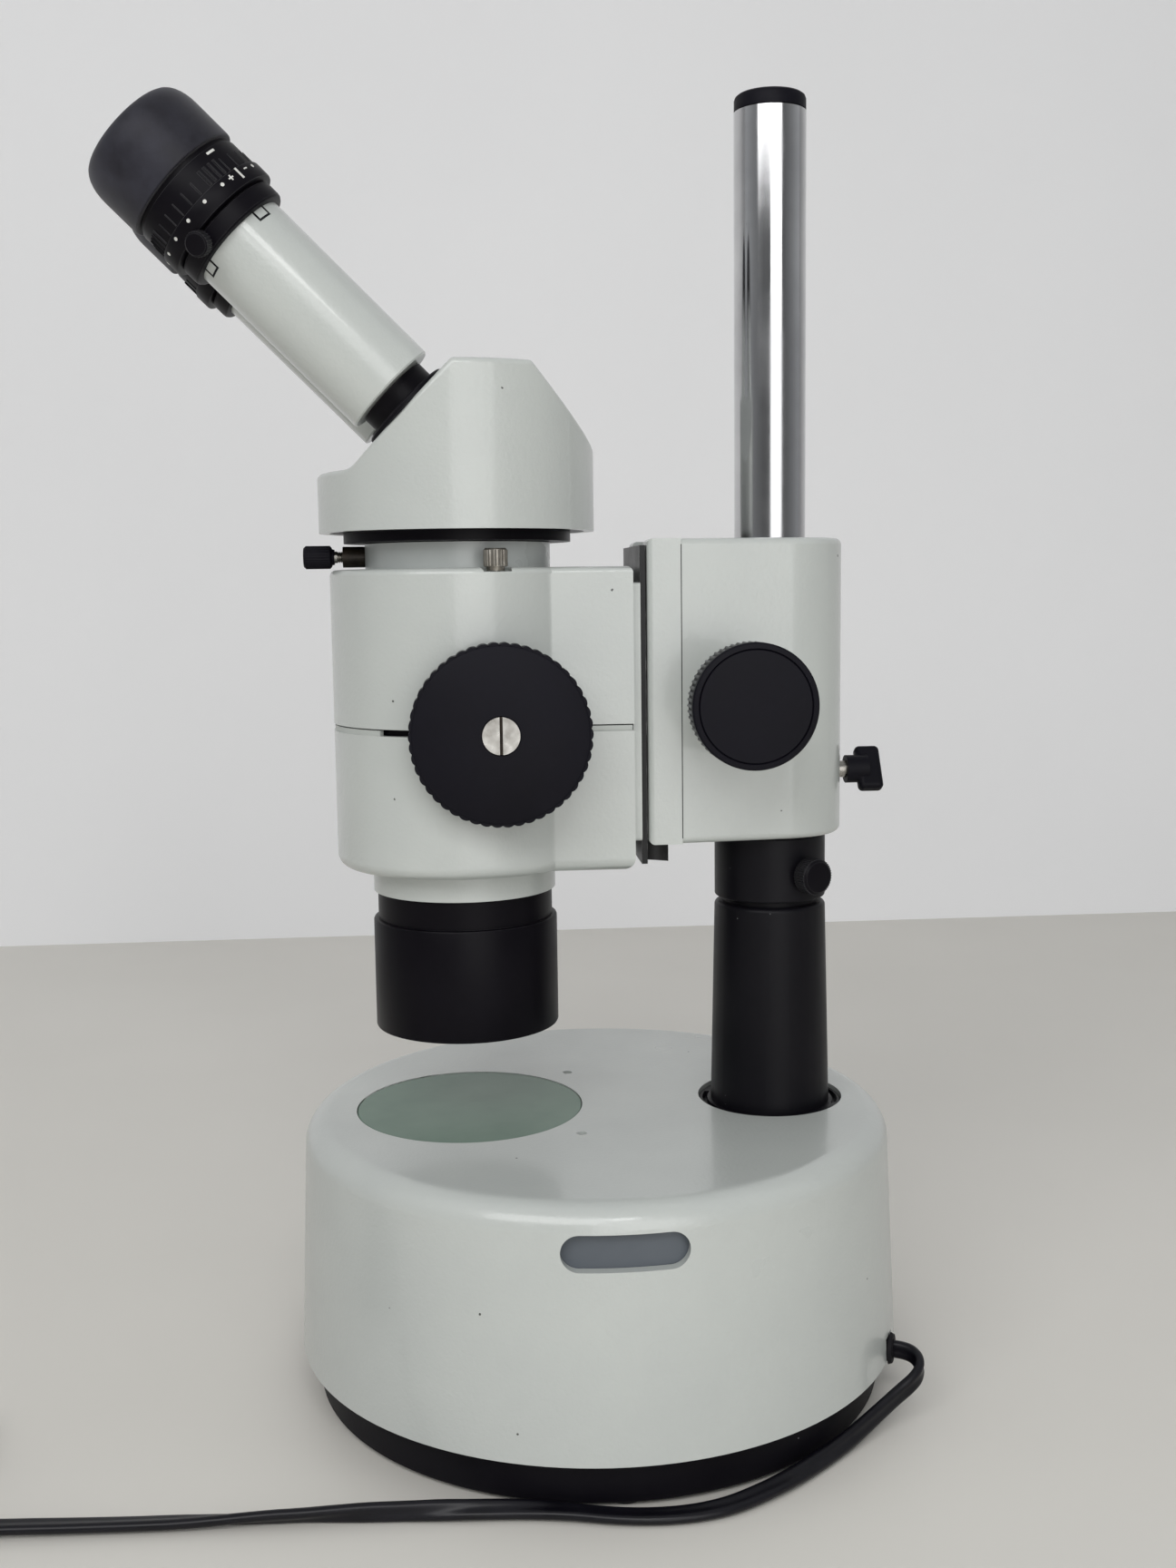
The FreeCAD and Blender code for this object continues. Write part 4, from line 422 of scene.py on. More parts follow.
@dataclass(frozen=True)
class Accent:
    """Another finish on the faces of a piece whose middles lie in a box, in millimetres."""

    low: Point
    high: Point
    finish: Finish

    def holds(self, spot: Vector) -> bool:
        """Say whether a place, in metres, lies in the box."""
        return all(a <= c / MM <= b for a, c, b in zip(self.low, spot, self.high))


def skin(node: str, finish: Finish, body: str, accent: Accent | None = None) -> bpy.types.Object:
    """Stand a merged, smoothly shaded copy of a CAD node in its place.

    Args:
        node: CAD node.
        finish: Finish of the copy.
        body: CAD body that it rides on.
        accent: Finish of one region, where it differs.

    Returns:
        The piece.
    """
    soup = bmesh.new()
    soup.from_mesh(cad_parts[node].data)
    bmesh.ops.remove_doubles(soup, verts=soup.verts, dist=MERGE_DISTANCE)
    bmesh.ops.dissolve_degenerate(soup, dist=MERGE_DISTANCE / 2, edges=soup.edges)
    bmesh.ops.dissolve_limit(soup, angle_limit=FLAT_ANGLE, verts=soup.verts, edges=soup.edges)
    mesh = bpy.data.meshes.new(node + "_surface")
    soup.to_mesh(mesh)
    soup.free()
    mesh = weigh_normals(shade(mesh))
    mesh.materials.clear()
    mesh.materials.append(finish.material())
    if accent:
        mesh.materials.append(accent.finish.material())
    for face in mesh.polygons:
        face.material_index = int(bool(accent and accent.holds(face.center)))
    return link(node + "_surface", mesh, finish, body, node)


def dress(finish: Finish, *nodes: str) -> None:
    """Give CAD nodes that stay as they are a finish.

    Args:
        finish: The finish.
        nodes: Names of the nodes.
    """
    for node in nodes:
        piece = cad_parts[node]
        if not piece.material_slots:
            piece.data.materials.append(None)
        for place in piece.material_slots:
            place.material = finish.material()


def lathe(profile: Profile, place: Matrix, closed: bool = True,
          facets: int = ROUND) -> bpy.types.Mesh:
    """Turn a profile about the piece's own Z.

    Args:
        profile: (radius, height) corners in millimetres; a radius of 0 is a pole.
        place: Matrix from the piece's own frame to the row's.
        closed: Whether the last corner joins the first, as in a ring with a bore.
        facets: Facets round the turn.

    Returns:
        The shaded mesh, with its faces outward.
    """
    work = bmesh.new()
    rings = []
    for radius, height in profile:
        if radius <= 0:
            rings.append([work.verts.new((0, 0, height))])
            continue
        turns = (2 * math.pi * i / facets for i in range(facets))
        rings.append([work.verts.new((radius * math.cos(t), radius * math.sin(t), height)) for t in turns])
    pairs = list(zip(rings, rings[1:]))
    if closed:
        pairs.append((rings[-1], rings[0]))
    for low, high in pairs:
        for i in range(facets):
            corners = [low[i % len(low)], low[(i + 1) % len(low)],
                       high[(i + 1) % len(high)], high[i % len(high)]]
            unique = list(dict.fromkeys(corners))
            if len(unique) > 2:
                work.faces.new(unique)
    bmesh.ops.recalc_face_normals(work, faces=work.faces)
    mesh = bpy.data.meshes.new("turned")
    work.to_mesh(mesh)
    work.free()
    shade(mesh)
    mesh.transform(place)
    return mesh


@dataclass(frozen=True)
class RibRing:
    """Ribs round a turned piece; sizes in millimetres, heights along its own Z.

    Of every group of places round the ring, the first few, keep, carry a rib.
    """

    count: int
    radius: float
    low: float
    high: float
    width: float
    depth: float
    sides: int = 8
    group: int = 1
    keep: int = 1


def rib_tree() -> bpy.types.NodeTree:
    """Build, once, the tree that adds a ring of rounded ribs to a piece.

    Ribs come in groups: of every Group places round the ring, the first Keep carry a rib.

    Returns:
        The tree, with its sizes and its finish as named inputs.
    """
    found = bpy.data.node_groups.get("rib_ring")
    if found:
        return found
    tree = bpy.data.node_groups.new("rib_ring", "GeometryNodeTree")
    face = tree.interface
    face.new_socket("Geometry", in_out="INPUT", socket_type="NodeSocketGeometry")
    for name in ("Count", "Sides", "Group", "Keep"):
        face.new_socket(name, in_out="INPUT", socket_type="NodeSocketInt")
    for name in ("Radius", "Middle", "Length", "Width", "Depth"):
        face.new_socket(name, in_out="INPUT", socket_type="NodeSocketFloat")
    face.new_socket("Finish", in_out="INPUT", socket_type="NodeSocketMaterial")
    face.new_socket("Geometry", in_out="OUTPUT", socket_type="NodeSocketGeometry")
    given = add_node(tree, "NodeGroupInput").outputs
    circle = add_node(tree, "GeometryNodeMeshCircle",
                      links={"Vertices": given["Count"], "Radius": given["Radius"]})
    rib = add_node(tree, "GeometryNodeMeshCylinder", {"Radius": 0.5},
                   {"Vertices": given["Sides"], "Depth": given["Length"]})
    across = add_node(tree, "ShaderNodeCombineXYZ", {"Z": 1.0}, {"X": given["Depth"], "Y": given["Width"]})
    flat = add_node(tree, "GeometryNodeTransform", links={"Geometry": rib.outputs["Mesh"],
                                                          "Scale": across.outputs["Vector"]})
    index = add_node(tree, "GeometryNodeInputIndex")
    step = add_node(tree, "ShaderNodeMath", {"operation": "MODULO"},
                    {0: index.outputs["Index"], 1: given["Group"]})
    kept = add_node(tree, "ShaderNodeMath", {"operation": "LESS_THAN"},
                    {0: step.outputs["Value"], 1: given["Keep"]})
    spot = add_node(tree, "GeometryNodeInputPosition")
    outward = add_node(tree, "FunctionNodeAlignRotationToVector", {"axis": "X", "pivot_axis": "Z"},
                       {"Vector": spot.outputs["Position"]})
    ribs = add_node(tree, "GeometryNodeInstanceOnPoints",
                    links={"Points": circle.outputs["Mesh"], "Selection": kept.outputs["Value"],
                           "Instance": flat.outputs["Geometry"], "Rotation": outward.outputs["Rotation"]})
    height = add_node(tree, "ShaderNodeCombineXYZ", links={"Z": given["Middle"]})
    raised = add_node(tree, "GeometryNodeTransform", links={"Geometry": ribs.outputs["Instances"],
                                                            "Translation": height.outputs["Vector"]})
    real = add_node(tree, "GeometryNodeRealizeInstances", links={"Geometry": raised.outputs["Geometry"]})
    painted = add_node(tree, "GeometryNodeSetMaterial", links={"Geometry": real.outputs["Geometry"],
                                                               "Material": given["Finish"]})
    joined = add_node(tree, "GeometryNodeJoinGeometry")
    tree.links.new(given["Geometry"], joined.inputs["Geometry"])
    tree.links.new(painted.outputs["Geometry"], joined.inputs["Geometry"])
    add_node(tree, "NodeGroupOutput", links={"Geometry": joined.outputs["Geometry"]})
    return tree


def ribbed(profile: Profile, rings: list[RibRing], finish: Finish, grip: Finish,
           place: Matrix, closed: bool = True) -> bpy.types.Mesh:
    """Turn a profile and stand rings of ribs on it.

    Args:
        profile: (radius, height) corners in millimetres.
        rings: Rings of ribs.
        finish: Finish of the turned piece.
        grip: Finish of the ribs.
        place: Matrix from the piece's own frame to the row's.
        closed: Whether the last corner joins the first.

    Returns:
        One plain mesh in place.
    """
    mesh = lathe(profile, Matrix.Identity(4), closed)
    mesh.materials.append(finish.material())
    if grip is not finish:
        mesh.materials.append(grip.material())
    holder = bpy.data.objects.new("ribbing", mesh)
    bpy.context.scene.collection.objects.link(holder)
    tree = rib_tree()
    ids = {item.name: item.identifier for item in tree.interface.items_tree if item.in_out == "INPUT"}
    for ring in rings:
        modifier = holder.modifiers.new("ribs", "NODES")
        modifier.node_group = tree
        values = {"Count": ring.count, "Sides": ring.sides, "Group": ring.group, "Keep": ring.keep,
                  "Radius": ring.radius, "Middle": (ring.low + ring.high) / 2,
                  "Length": ring.high - ring.low, "Width": ring.width, "Depth": ring.depth,
                  "Finish": grip.material()}
        for name, value in values.items():
            modifier[ids[name]] = float(value) if name in ("Radius", "Middle", "Length", "Width",
                                                           "Depth") else value
    view = bpy.context.evaluated_depsgraph_get()
    result = bpy.data.meshes.new_from_object(holder.evaluated_get(view))
    bpy.data.objects.remove(holder)
    shade(result)
    result.transform(place)
    return result


def block(low: Point, high: Point, edge: float) -> bpy.types.Mesh:
    """Box with softened edges, between two corners in the row's frame, in millimetres.

    Args:
        low: Lowest corner.
        high: Highest corner.
        edge: Width of the softened edges.

    Returns:
        The shaded mesh.
    """
    work = bmesh.new()
    bmesh.ops.create_cube(work, size=1)
    middle = (Vector(low) + Vector(high)) / 2
    size = Vector(high) - Vector(low)
    for vertex in work.verts:
        vertex.co = middle + Vector(c * s for c, s in zip(vertex.co, size))
    bmesh.ops.bevel(work, geom=work.edges, offset=edge, segments=2, profile=0.5, affect="EDGES")
    mesh = bpy.data.meshes.new("block")
    work.to_mesh(mesh)
    work.free()
    shade(mesh)
    mesh.transform(Matrix.Scale(MM, 4))
    return mesh


def arc_bar(radii: tuple[float, float], heights: tuple[float, float], angles: tuple[float, float],
            place: Matrix) -> bpy.types.Mesh:
    """Bar bent round the piece's own Z.

    Args:
        radii: Inner and outer radius in millimetres.
        heights: Low and high end in millimetres.
        angles: Start and end in degrees.
        place: Matrix from the piece's own frame to the row's.

    Returns:
        The shaded mesh.
    """
    corners = [(radii[0], heights[0]), (radii[1], heights[0]), (radii[1], heights[1]), (radii[0], heights[1])]
    start, end = (math.radians(angle) for angle in angles)
    steps = max(2, math.ceil(abs(angles[1] - angles[0]) / 3))
    work = bmesh.new()
    rings = []
    for step in range(steps + 1):
        turn = start + (end - start) * step / steps
        rings.append([work.verts.new((r * math.cos(turn), r * math.sin(turn), z)) for r, z in corners])
    for low, high in zip(rings, rings[1:]):
        for i in range(4):
            j = (i + 1) % 4
            work.faces.new((low[i], low[j], high[j], high[i]))
    work.faces.new(rings[0])
    work.faces.new(rings[-1])
    bmesh.ops.recalc_face_normals(work, faces=work.faces)
    mesh = bpy.data.meshes.new("arc_bar")
    work.to_mesh(mesh)
    work.free()
    shade(mesh)
    mesh.transform(place)
    return mesh


def join(name: str, meshes: list[bpy.types.Mesh]) -> bpy.types.Mesh:
    """Join meshes, with their materials, to one.

    Args:
        name: Name of the joined mesh.
        meshes: Meshes that are already in place.

    Returns:
        The joined mesh.
    """
    result = bpy.data.meshes.new(name)
    work = bmesh.new()
    for mesh in meshes:
        offset = len(result.materials)
        for material in mesh.materials:
            result.materials.append(material)
        start = len(work.faces)
        work.from_mesh(mesh)
        work.faces.ensure_lookup_table()
        for face in work.faces[start:]:
            face.material_index += offset
    work.to_mesh(result)
    work.free()
    return result


# ---- base -------------------------------------------------------------------------------------
@dataclass
class Base:
    """Round lit base with its glass stage."""

    body: str = "root"

    def build(self) -> None:
        """Dress every piece of the base."""
        skin("base_housing", ENAMEL, self.body)
        skin("base_plate", PAN_PAINT, self.body)
        skin("rubber_feet", FOOT_RUBBER, self.body)
        skin("base_screws", TURNED_STEEL, self.body)
        skin("vent_lining", GREY_SHEET, self.body)
        skin("stage_glass", FROSTED_GLASS, "stage")
        dress(SILVER, "mirror")
        dress(GREY_SHEET, "mirror_bracket", "lamp_socket")
        dress(CLEAR_GLASS, "lamp_bulb")


# ---- lead -------------------------------------------------------------------------------------
@dataclass
class Lead:
    """Flat two-core lead, its bush, its put-away coil and its plug.

    The rolls are pairs of a run along the lead and how far it is rolled there, in degrees.
    """

    width: float = 6.3
    thickness: float = 3.2
    length: float = 1595.0
    waist: float = 122.0
    arc_steps: int = 8
    crease_angle: float = 50.0
    coil_centre: tuple[float, float] = (62.0, -247.0)
    coil_outer: float = 35.6
    coil_pitch: float = 3.3
    coil_turns: float = 2.75
    low_layer: float = 3.3
    high_layer: float = 9.8
    points_per_turn: int = 16
    climb_points: int = 3
    spline_order: int = 3
    spline_steps: int = 10
    rolls: tuple[tuple[float, float], ...] = (
        (0, 90), (26, 90), (60, 62), (95, 20), (150, 6), (185, 40), (215, 88), (245, 130),
        (285, 172), (330, 180), (365, 262), (380, 270), (4000, 270))

    def route(self) -> list[Point]:
        """Points of the free stretch, from the bush along the table to the coil.

        Returns:
            The points, in millimetres.
        """
        return [(46.05, 99.67, 20.0), (47.98, 103.84, 20.0), (51.9, 106.4, 19.0), (56.4, 106.2, 17.6),
                (59.9, 103.3, 15.2), (62.6, 95.6, 10.9), (67.4, 86.6, 6.4), (76.0, 76.4, 4.0),
                (87.4, 63.6, 3.3), (100.6, 46.6, 3.2), (110.9, 26.6, 2.6), (111.4, 1.4, 2.2),
                (104.6, -25.8, 3.0), (103.2, -54.4, 3.6), (100.6, -96.2, 3.2), (99.6, -137.9, 2.4),
                (98.6, -167.4, 2.6), (97.6, -195.0, 3.2), (97.6, -222.0, 3.3)]

    def coil(self) -> list[Point]:
        """Points of the coil: inwards in the low layer, up, and outwards in the high layer.

        The spline runs a little inside its points, so they stand that much farther out.

        Returns:
            The points, in millimetres.
        """
        points = []
        steps = round(self.coil_turns * self.points_per_turn)
        inner = self.coil_outer - self.coil_pitch * self.coil_turns
        climb = self.climb_points / self.points_per_turn
        layers = ((self.coil_outer, -self.coil_pitch, self.low_layer, 0.0),
                  (inner, self.coil_pitch, self.high_layer, self.coil_turns + climb))
        for radius, drift, height, begun in layers:
            for step in range(steps + 1):
                turns = step / self.points_per_turn
                angle = -2 * math.pi * (begun + turns)
                reach = (radius + drift * turns) / math.cos(math.pi / self.points_per_turn) ** 0.5
                points.append((self.coil_centre[0] + reach * math.cos(angle),
                               self.coil_centre[1] + reach * math.sin(angle), height))
        return points

    def tail(self) -> list[Point]:
        """Points of the short end that climbs on the coil to the plug."""
        return [(99.0, -252.0, 12.4), (95.0, -266.0, 16.0), (86.0, -276.0, 18.4), (78.0, -279.0, 19.1),
                (71.0, -279.0, 19.1)]

    def line(self) -> list[Vector]:
        """Read the centreline from one smooth spline through the whole route.

        Returns:
            Its points, in metres.
        """
        curve = bpy.data.curves.new("lead_line", "CURVE")
        curve.dimensions = "3D"
        curve.resolution_u = self.spline_steps
        spline = curve.splines.new("NURBS")
        points = self.route() + self.coil() + self.tail()
        spline.points.add(len(points) - 1)
        for control, point in zip(spline.points, points):
            control.co = (*(Vector(point) * MM), 1.0)
        spline.order_u = self.spline_order
        spline.use_endpoint_u = True
        holder = bpy.data.objects.new("lead_line", curve)
        bpy.context.scene.collection.objects.link(holder)
        view = bpy.context.evaluated_depsgraph_get()
        mesh = bpy.data.meshes.new_from_object(holder.evaluated_get(view))
        line = [vertex.co.copy() for vertex in mesh.vertices]
        bpy.data.objects.remove(holder)
        return line

    def roll(self, run: float) -> float:
        """How far the flat lead is rolled on its edge at one place.

        Args:
            run: Distance along the lead from its bush, in millimetres.

        Returns:
            The roll in radians; 0 lies flat.
        """
        for (start, first), (end, last) in zip(self.rolls, self.rolls[1:]):
            if run <= end:
                share = (run - start) / (end - start)
                eased = share * share * (3 - 2 * share)
                return math.radians(first + (last - first) * eased)
        return math.radians(self.rolls[-1][1])

    def section(self) -> Profile:
        """Outline of the two cores side by side, with a groove between them.

        Returns:
            Its corners, each across the lead's width and its thickness, in millimetres.
        """
        radius = self.thickness / 2
        centre = self.width / 2 - radius
        waist = math.radians(self.waist)
        outline = []
        for sign in (1, -1):
            for step in range(self.arc_steps + 1):
                angle = -waist + 2 * waist * step / self.arc_steps
                outline.append((sign * (centre + radius * math.cos(angle)), sign * radius * math.sin(angle)))
        return outline

    def sweep(self, line: list[Vector]) -> bpy.types.Mesh:
        """Sweep the outline along the centreline, rolling it on the way.

        Args:
            line: Points of the centreline, in metres.

        Returns:
            The shaded mesh of the lead.
        """
        outline = self.section()
        work = bmesh.new()
        rings = []
        run = 0.0
        for i, point in enumerate(line):
            ahead = (line[min(i + 1, len(line) - 1)] - line[max(i - 1, 0)]).normalized()
            if i:
                run += (point - line[i - 1]).length / MM
            level = ahead.cross(UP).normalized()
            upward = level.cross(ahead)
            turn = self.roll(run)
            wide = level * math.cos(turn) + upward * math.sin(turn)
            thin = upward * math.cos(turn) - level * math.sin(turn)
            rings.append([work.verts.new(point + (wide * a + thin * b) * MM) for a, b in outline])
        for low, high in zip(rings, rings[1:]):
            for i in range(len(outline)):
                j = (i + 1) % len(outline)
                work.faces.new((low[i], low[j], high[j], high[i]))
        work.faces.new(rings[0])
        work.faces.new(rings[-1])
        bmesh.ops.recalc_face_normals(work, faces=work.faces)
        mesh = bpy.data.meshes.new("flat_lead")
        work.to_mesh(mesh)
        work.free()
        LOG.info("lead: %.0f mm along its line", run)
        return shade(mesh, math.radians(self.crease_angle))

    def build(self) -> None:
        """Build the lead, and dress what is on it."""
        line = self.line()
        piece = link("flat_lead", self.sweep(line), LEAD_VINYL, "root", "power_cord", "cord_coil")
        skin("cable_gland", FOOT_RUBBER, "root")
        plug = skin("cord_plug", LEAD_VINYL, "root")


# ---- column -----------------------------------------------------------------------------------
@dataclass
class Pillar:
    """Chromed column with its foot, sleeve, cap and stop collar."""

    radius: float = 12.5
    bore: float = 9.0
    low: float = 40.0
    top: float = 447.0
    end_chamfer: float = 0.4
    cap_height: float = 5.4
    cap_radius: float = 12.4
    plug_radius: float = 8.9
    plug_length: float = 12.0
    screw_height: float = 183.9
    screw_angle: float = 27.0
    screw_head: float = 6.45
    screw_low: float = 21.2
    screw_high: float = 28.0
    screw_tip: float = 12.8
    screw_stem: float = 3.0
    knurls: int = 44
    knurl_rise: float = 0.35

    def build(self) -> None:
        """Build the column's pieces."""
        axis = frame_of(Vector((0, COLUMN_Y, 0)), UP, BACK)
        skin("pillar_foot", BLACK_ENAMEL, "root")
        skin("pillar_sleeve", BLACK_ENAMEL, "root")
        skin("stop_collar", BLACK_ENAMEL, "collar")
        tube = [(self.bore, self.low), (self.radius, self.low), (self.radius, self.top - self.end_chamfer),
                (self.radius - self.end_chamfer, self.top), (self.bore, self.top)]
        link("chromed_column", lathe(tube, axis), COLUMN_CHROME, "root", "column")
        top = self.top + self.cap_height
        plug = self.top - self.plug_length
        cap = [(0, plug), (self.plug_radius, plug), (self.plug_radius, self.top), (self.cap_radius, self.top),
               (self.cap_radius, top - 1.8), (self.cap_radius - 0.35, top - 0.8),
               (self.cap_radius - 1.2, top - 0.15), (self.cap_radius - 2.2, top), (0, top)]
        link("column_end_cap", lathe(cap, axis, closed=False), MOULDED_BLACK, "root", "column_cap")
        self.clamp_screw()

    def clamp_screw(self) -> None:
        """Build the collar's knurled screw."""
        turn = math.radians(self.screw_angle)
        way = Vector((math.cos(turn), math.sin(turn), 0))
        place = frame_of(Vector((0, COLUMN_Y, self.screw_height)), way, UP)
        core = self.screw_head - self.knurl_rise
        low = self.screw_low
        high = self.screw_high
        profile = [(0, self.screw_tip), (self.screw_stem, self.screw_tip), (self.screw_stem, low),
                   (core - 0.8, low), (core, low + 0.7), (core, high - 0.8),
                   (core - 0.8, high - 0.1), (core - 1.6, high), (0, high)]
        ribs = RibRing(self.knurls, core, low + 0.8, high - 0.9, 0.55, 2 * self.knurl_rise, 6)
        mesh = ribbed(profile, [ribs], BLACK_ANODISED, BLACK_ANODISED, place, closed=False)
        link("collar_clamp_screw", mesh, BLACK_ANODISED, "collar_screw", "collar_screw")


# ---- focus drive ------------------------------------------------------------------------------
@dataclass
class FocusDrive:
    """Rack focus drive with its knobs and rear clamp; the line is a dark strip of painted shade in the joint
    of its two castings.
    """

    axis_y: float = 47.4
    axis_z: float = 247.2
    knob_radius: float = 20.6
    knob_back: float = 53.2
    knob_face: float = 67.0
    hub_radius: float = 9.0
    hub_low: float = 45.0
    hub_depth: float = 6.0
    shaft_radius: float = 3.5
    grip_ribs: int = 64
    grip_drop: float = 0.55
    half_width: float = 29.0
    joint_y: float = 28.7
    low_z: float = 197.6
    top_z: float = 301.6
    line_half: float = 0.16
    line_proud: float = 0.03
    line_depth: float = 0.6
    line_margin: float = 2.0
    line_edge: float = 0.04

    def build(self) -> None:
        """Build the drive's pieces."""
        skin("drive_housing", ENAMEL, "drive")
        skin("drive_front_plate", ENAMEL, "drive")
        skin("focus_carriage", RUBBED_RAIL, "carriage")
        skin("focus_rack", CUT_BRASS, "carriage")
        skin("pinion_shaft", TURNED_STEEL, "focus_shaft")
        skin("wing_screw_handle", MOULDED_BLACK, "wing_screw")
        skin("wing_screw_shank", TURNED_STEEL, "wing_screw")
        self.joint_shade_line()
        for side in Side:
            self.knob(side)

    def joint_shade_line(self) -> None:
        """Lay a dark hairline strip between the two castings, on both flanks and the roof: painted shade of
        the joint's groove.
        """
        outer = self.half_width + self.line_proud
        inner = self.half_width - self.line_depth
        across = self.half_width - self.line_margin
        front = self.joint_y - self.line_half
        rear = self.joint_y + self.line_half
        low = self.low_z + self.line_margin
        high = self.top_z - self.line_margin
        roof = self.top_z - self.line_depth
        spans = [((inner, front, low), (outer, rear, high)), ((-outer, front, low), (-inner, rear, high)),
                 ((-across, front, roof), (across, rear, self.top_z + self.line_proud))]
        # Dark strips that paint the shade of the joint's groove.
        strips = [block(*span, self.line_edge) for span in spans]
        link("joint_shade_line", join("joint_shade_line", strips), FOOT_RUBBER, "drive")

    def knob(self, side: Side) -> None:
        """Build one knob: ribbed grip, raised rim and domed face.

        Args:
            side: Which of the two.
        """
        place = frame_of(Vector((0, self.axis_y, self.axis_z)), RIGHT * side.value, UP)
        back = self.knob_back
        core = self.knob_radius - self.grip_drop
        face = self.knob_face
        rim = self.knob_radius - 0.1
        profile = [(self.shaft_radius, self.hub_low), (self.hub_radius, self.hub_low),
                   (self.hub_radius, back), (core - 0.6, back), (core, back + 0.5),
                   (core, face - 3.6), (rim, face - 3.4), (rim, face - 1.2),
                   (rim - 0.5, face - 0.75), (rim - 1.9, face - 0.55), (rim - 2.2, face - 1.1),
                   (rim - 2.5, face - 0.6), (rim - 6, face - 0.35), (rim - 12, face - 0.12), (0, face - 0.02),
                   (0, back + self.hub_depth), (self.shaft_radius, back + self.hub_depth)]
        ribs = RibRing(self.grip_ribs, core, back + 0.6, face - 3.9, 1.1, 0.9)
        mesh = ribbed(profile, [ribs], MOULDED_BLACK, GREY_GRIP, place)
        link("focus_grip_" + side.word, mesh, MOULDED_BLACK, "focus_shaft", "focus_knob_" + side.word)


